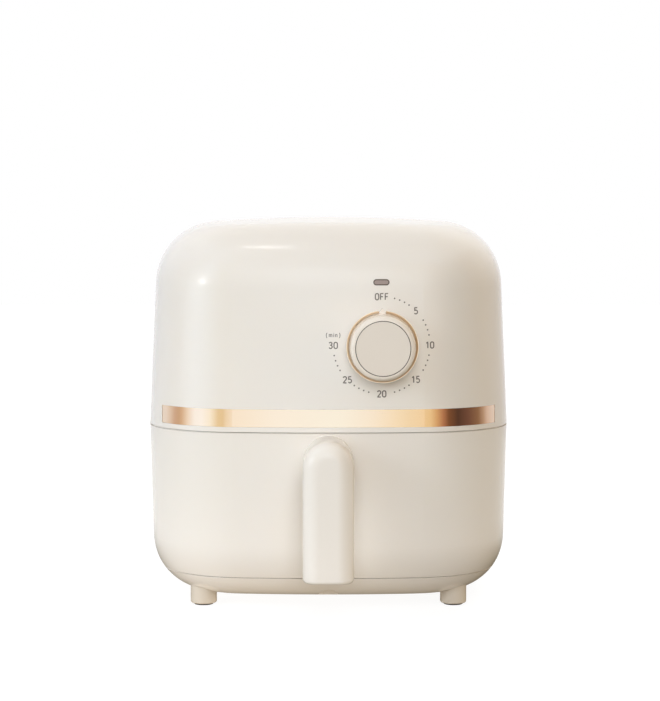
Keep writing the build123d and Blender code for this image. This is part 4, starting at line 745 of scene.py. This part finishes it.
def light_world():
    """White to the camera, gloss and clear plastic; to soft light a pale sky and a warm right side."""
    world = bpy.data.worlds.new("daylight")
    world.use_nodes = True
    bpy.context.scene.world = world
    tree = world.node_tree
    seen, _ = seen_whole(tree)
    direction = wired(tree, "ShaderNodeTexCoord").outputs["Generated"]
    side = wired(tree, "ShaderNodeSeparateXYZ", {0: direction}).outputs
    daylight = mixed(tree, ranged(tree, side["X"], 0.0, 1.0, *SKY_SIDE), plain_color(tree, BLACK),
                     plain_color(tree, SKY_RIGHT))
    daylight = mixed(tree, ranged(tree, side["Z"], 0.0, 1.0, *SKY_RISE), daylight,
                     plain_color(tree, SKY_ABOVE))
    background = tree.nodes["Background"].inputs
    feed(tree, background["Color"], mixed(tree, seen, daylight, plain_color(tree, WHITE)))
    feed(tree, background["Strength"], 1.0)


def toward(azimuth, elevation, away):
    """The point that far from the middle of the body; azimuth 0 is in front, positive to the right."""
    turn, rise = radians(azimuth), radians(elevation)
    return Vector((away * cos(rise) * sin(turn), -away * cos(rise) * cos(turn),
                   BODY_MIDDLE + away * sin(rise)))


def soft_lamp(name, azimuth, elevation, size, power, color, away=LAMP_AWAY, sheen=False):
    """Rectangular studio lamp that faces the body; sheen makes one that only glossy surfaces see."""
    data = bpy.data.lights.new(name, "AREA")
    data.shape = "RECTANGLE"
    data.size, data.size_y = size
    data.energy = power
    data.color = color
    lamp = new_object(name, data)
    lamp.location = toward(azimuth, elevation, away)
    lamp.rotation_mode = "QUATERNION"
    aim = Vector((0, 0, BODY_MIDDLE))
    lamp.rotation_quaternion = (aim - lamp.location).to_track_quat("-Z", "Y")
    lamp.visible_camera = False
    lamp.visible_glossy = sheen
    lamp.visible_diffuse = not sheen


def card_finish():
    """Gives off the tone of each azimuth; the sheet's own coordinate runs from 0 to 1 round the ring."""
    material = bpy.data.materials.new("card_ring")
    material.use_nodes = True
    tree = material.node_tree
    tree.nodes.remove(tree.nodes["Principled BSDF"])
    sheet = wired(tree, "ShaderNodeTexCoord").outputs["UV"]
    around = wired(tree, "ShaderNodeSeparateXYZ", {0: sheet}).outputs["X"]
    ramp = wired(tree, "ShaderNodeValToRGB", {"Fac": around})
    stops = ramp.color_ramp.elements
    while len(stops) > 1:
        stops.remove(stops[0])
    for index, (azimuth, color) in enumerate(CARD_TONES):
        place = azimuth / 360 + 0.5
        stop = stops.new(place) if index else stops[0]
        stop.position = place
        stop.color = (*color, 1)
    emission = wired(tree, "ShaderNodeEmission", {"Color": ramp.outputs["Color"], "Strength": CARD_LIGHT})
    feed(tree, tree.nodes["Material Output"].inputs["Surface"], emission.outputs[0])
    return material


def make_card_ring():
    """Upright ring of cards that only reflections see: bright, with warm gaps and a dark right side."""
    points = []
    for index in range(CARD_STEPS + 1):
        place = toward(360 * index / CARD_STEPS - 180, 0, CARD_AWAY)
        points += [(place.x, place.y, height) for height in CARD_HEIGHTS]
    faces = [(first, first + 2, first + 3, first + 1) for first in range(0, 2 * CARD_STEPS, 2)]
    card = new_object("card_ring", new_mesh("card_ring", points, faces))
    sheet = card.data.uv_layers.new(name="around")
    for corner in card.data.loops:
        sheet.data[corner.index].uv = (corner.vertex_index // 2 / CARD_STEPS, corner.vertex_index % 2)
    card.data.materials.append(card_finish())
    card.visible_camera = card.visible_diffuse = card.visible_transmission = card.visible_shadow = False


def make_camera():
    """A long lens in front of the middle of the body, tilted down a little."""
    data = bpy.data.cameras.new("camera")
    data.lens = CAMERA_LENS
    data.sensor_width = CAMERA_SENSOR
    camera = new_object("camera", data)
    camera.location = (CAMERA_X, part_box("drawer_front")[0].y - CAMERA_AWAY, CAMERA_Z)
    camera.rotation_euler = (pi / 2 - CAMERA_TILT, 0, 0)
    bpy.context.scene.camera = camera


make_camera()
make_floor()
light_world()
for lamp_name, settings in LAMPS.items():
    soft_lamp(lamp_name, *settings)
for lamp_name, settings in SHEENS.items():
    soft_lamp(lamp_name, *settings, sheen=True)
make_card_ring()
bpy.context.scene.view_settings.view_transform = "Standard"
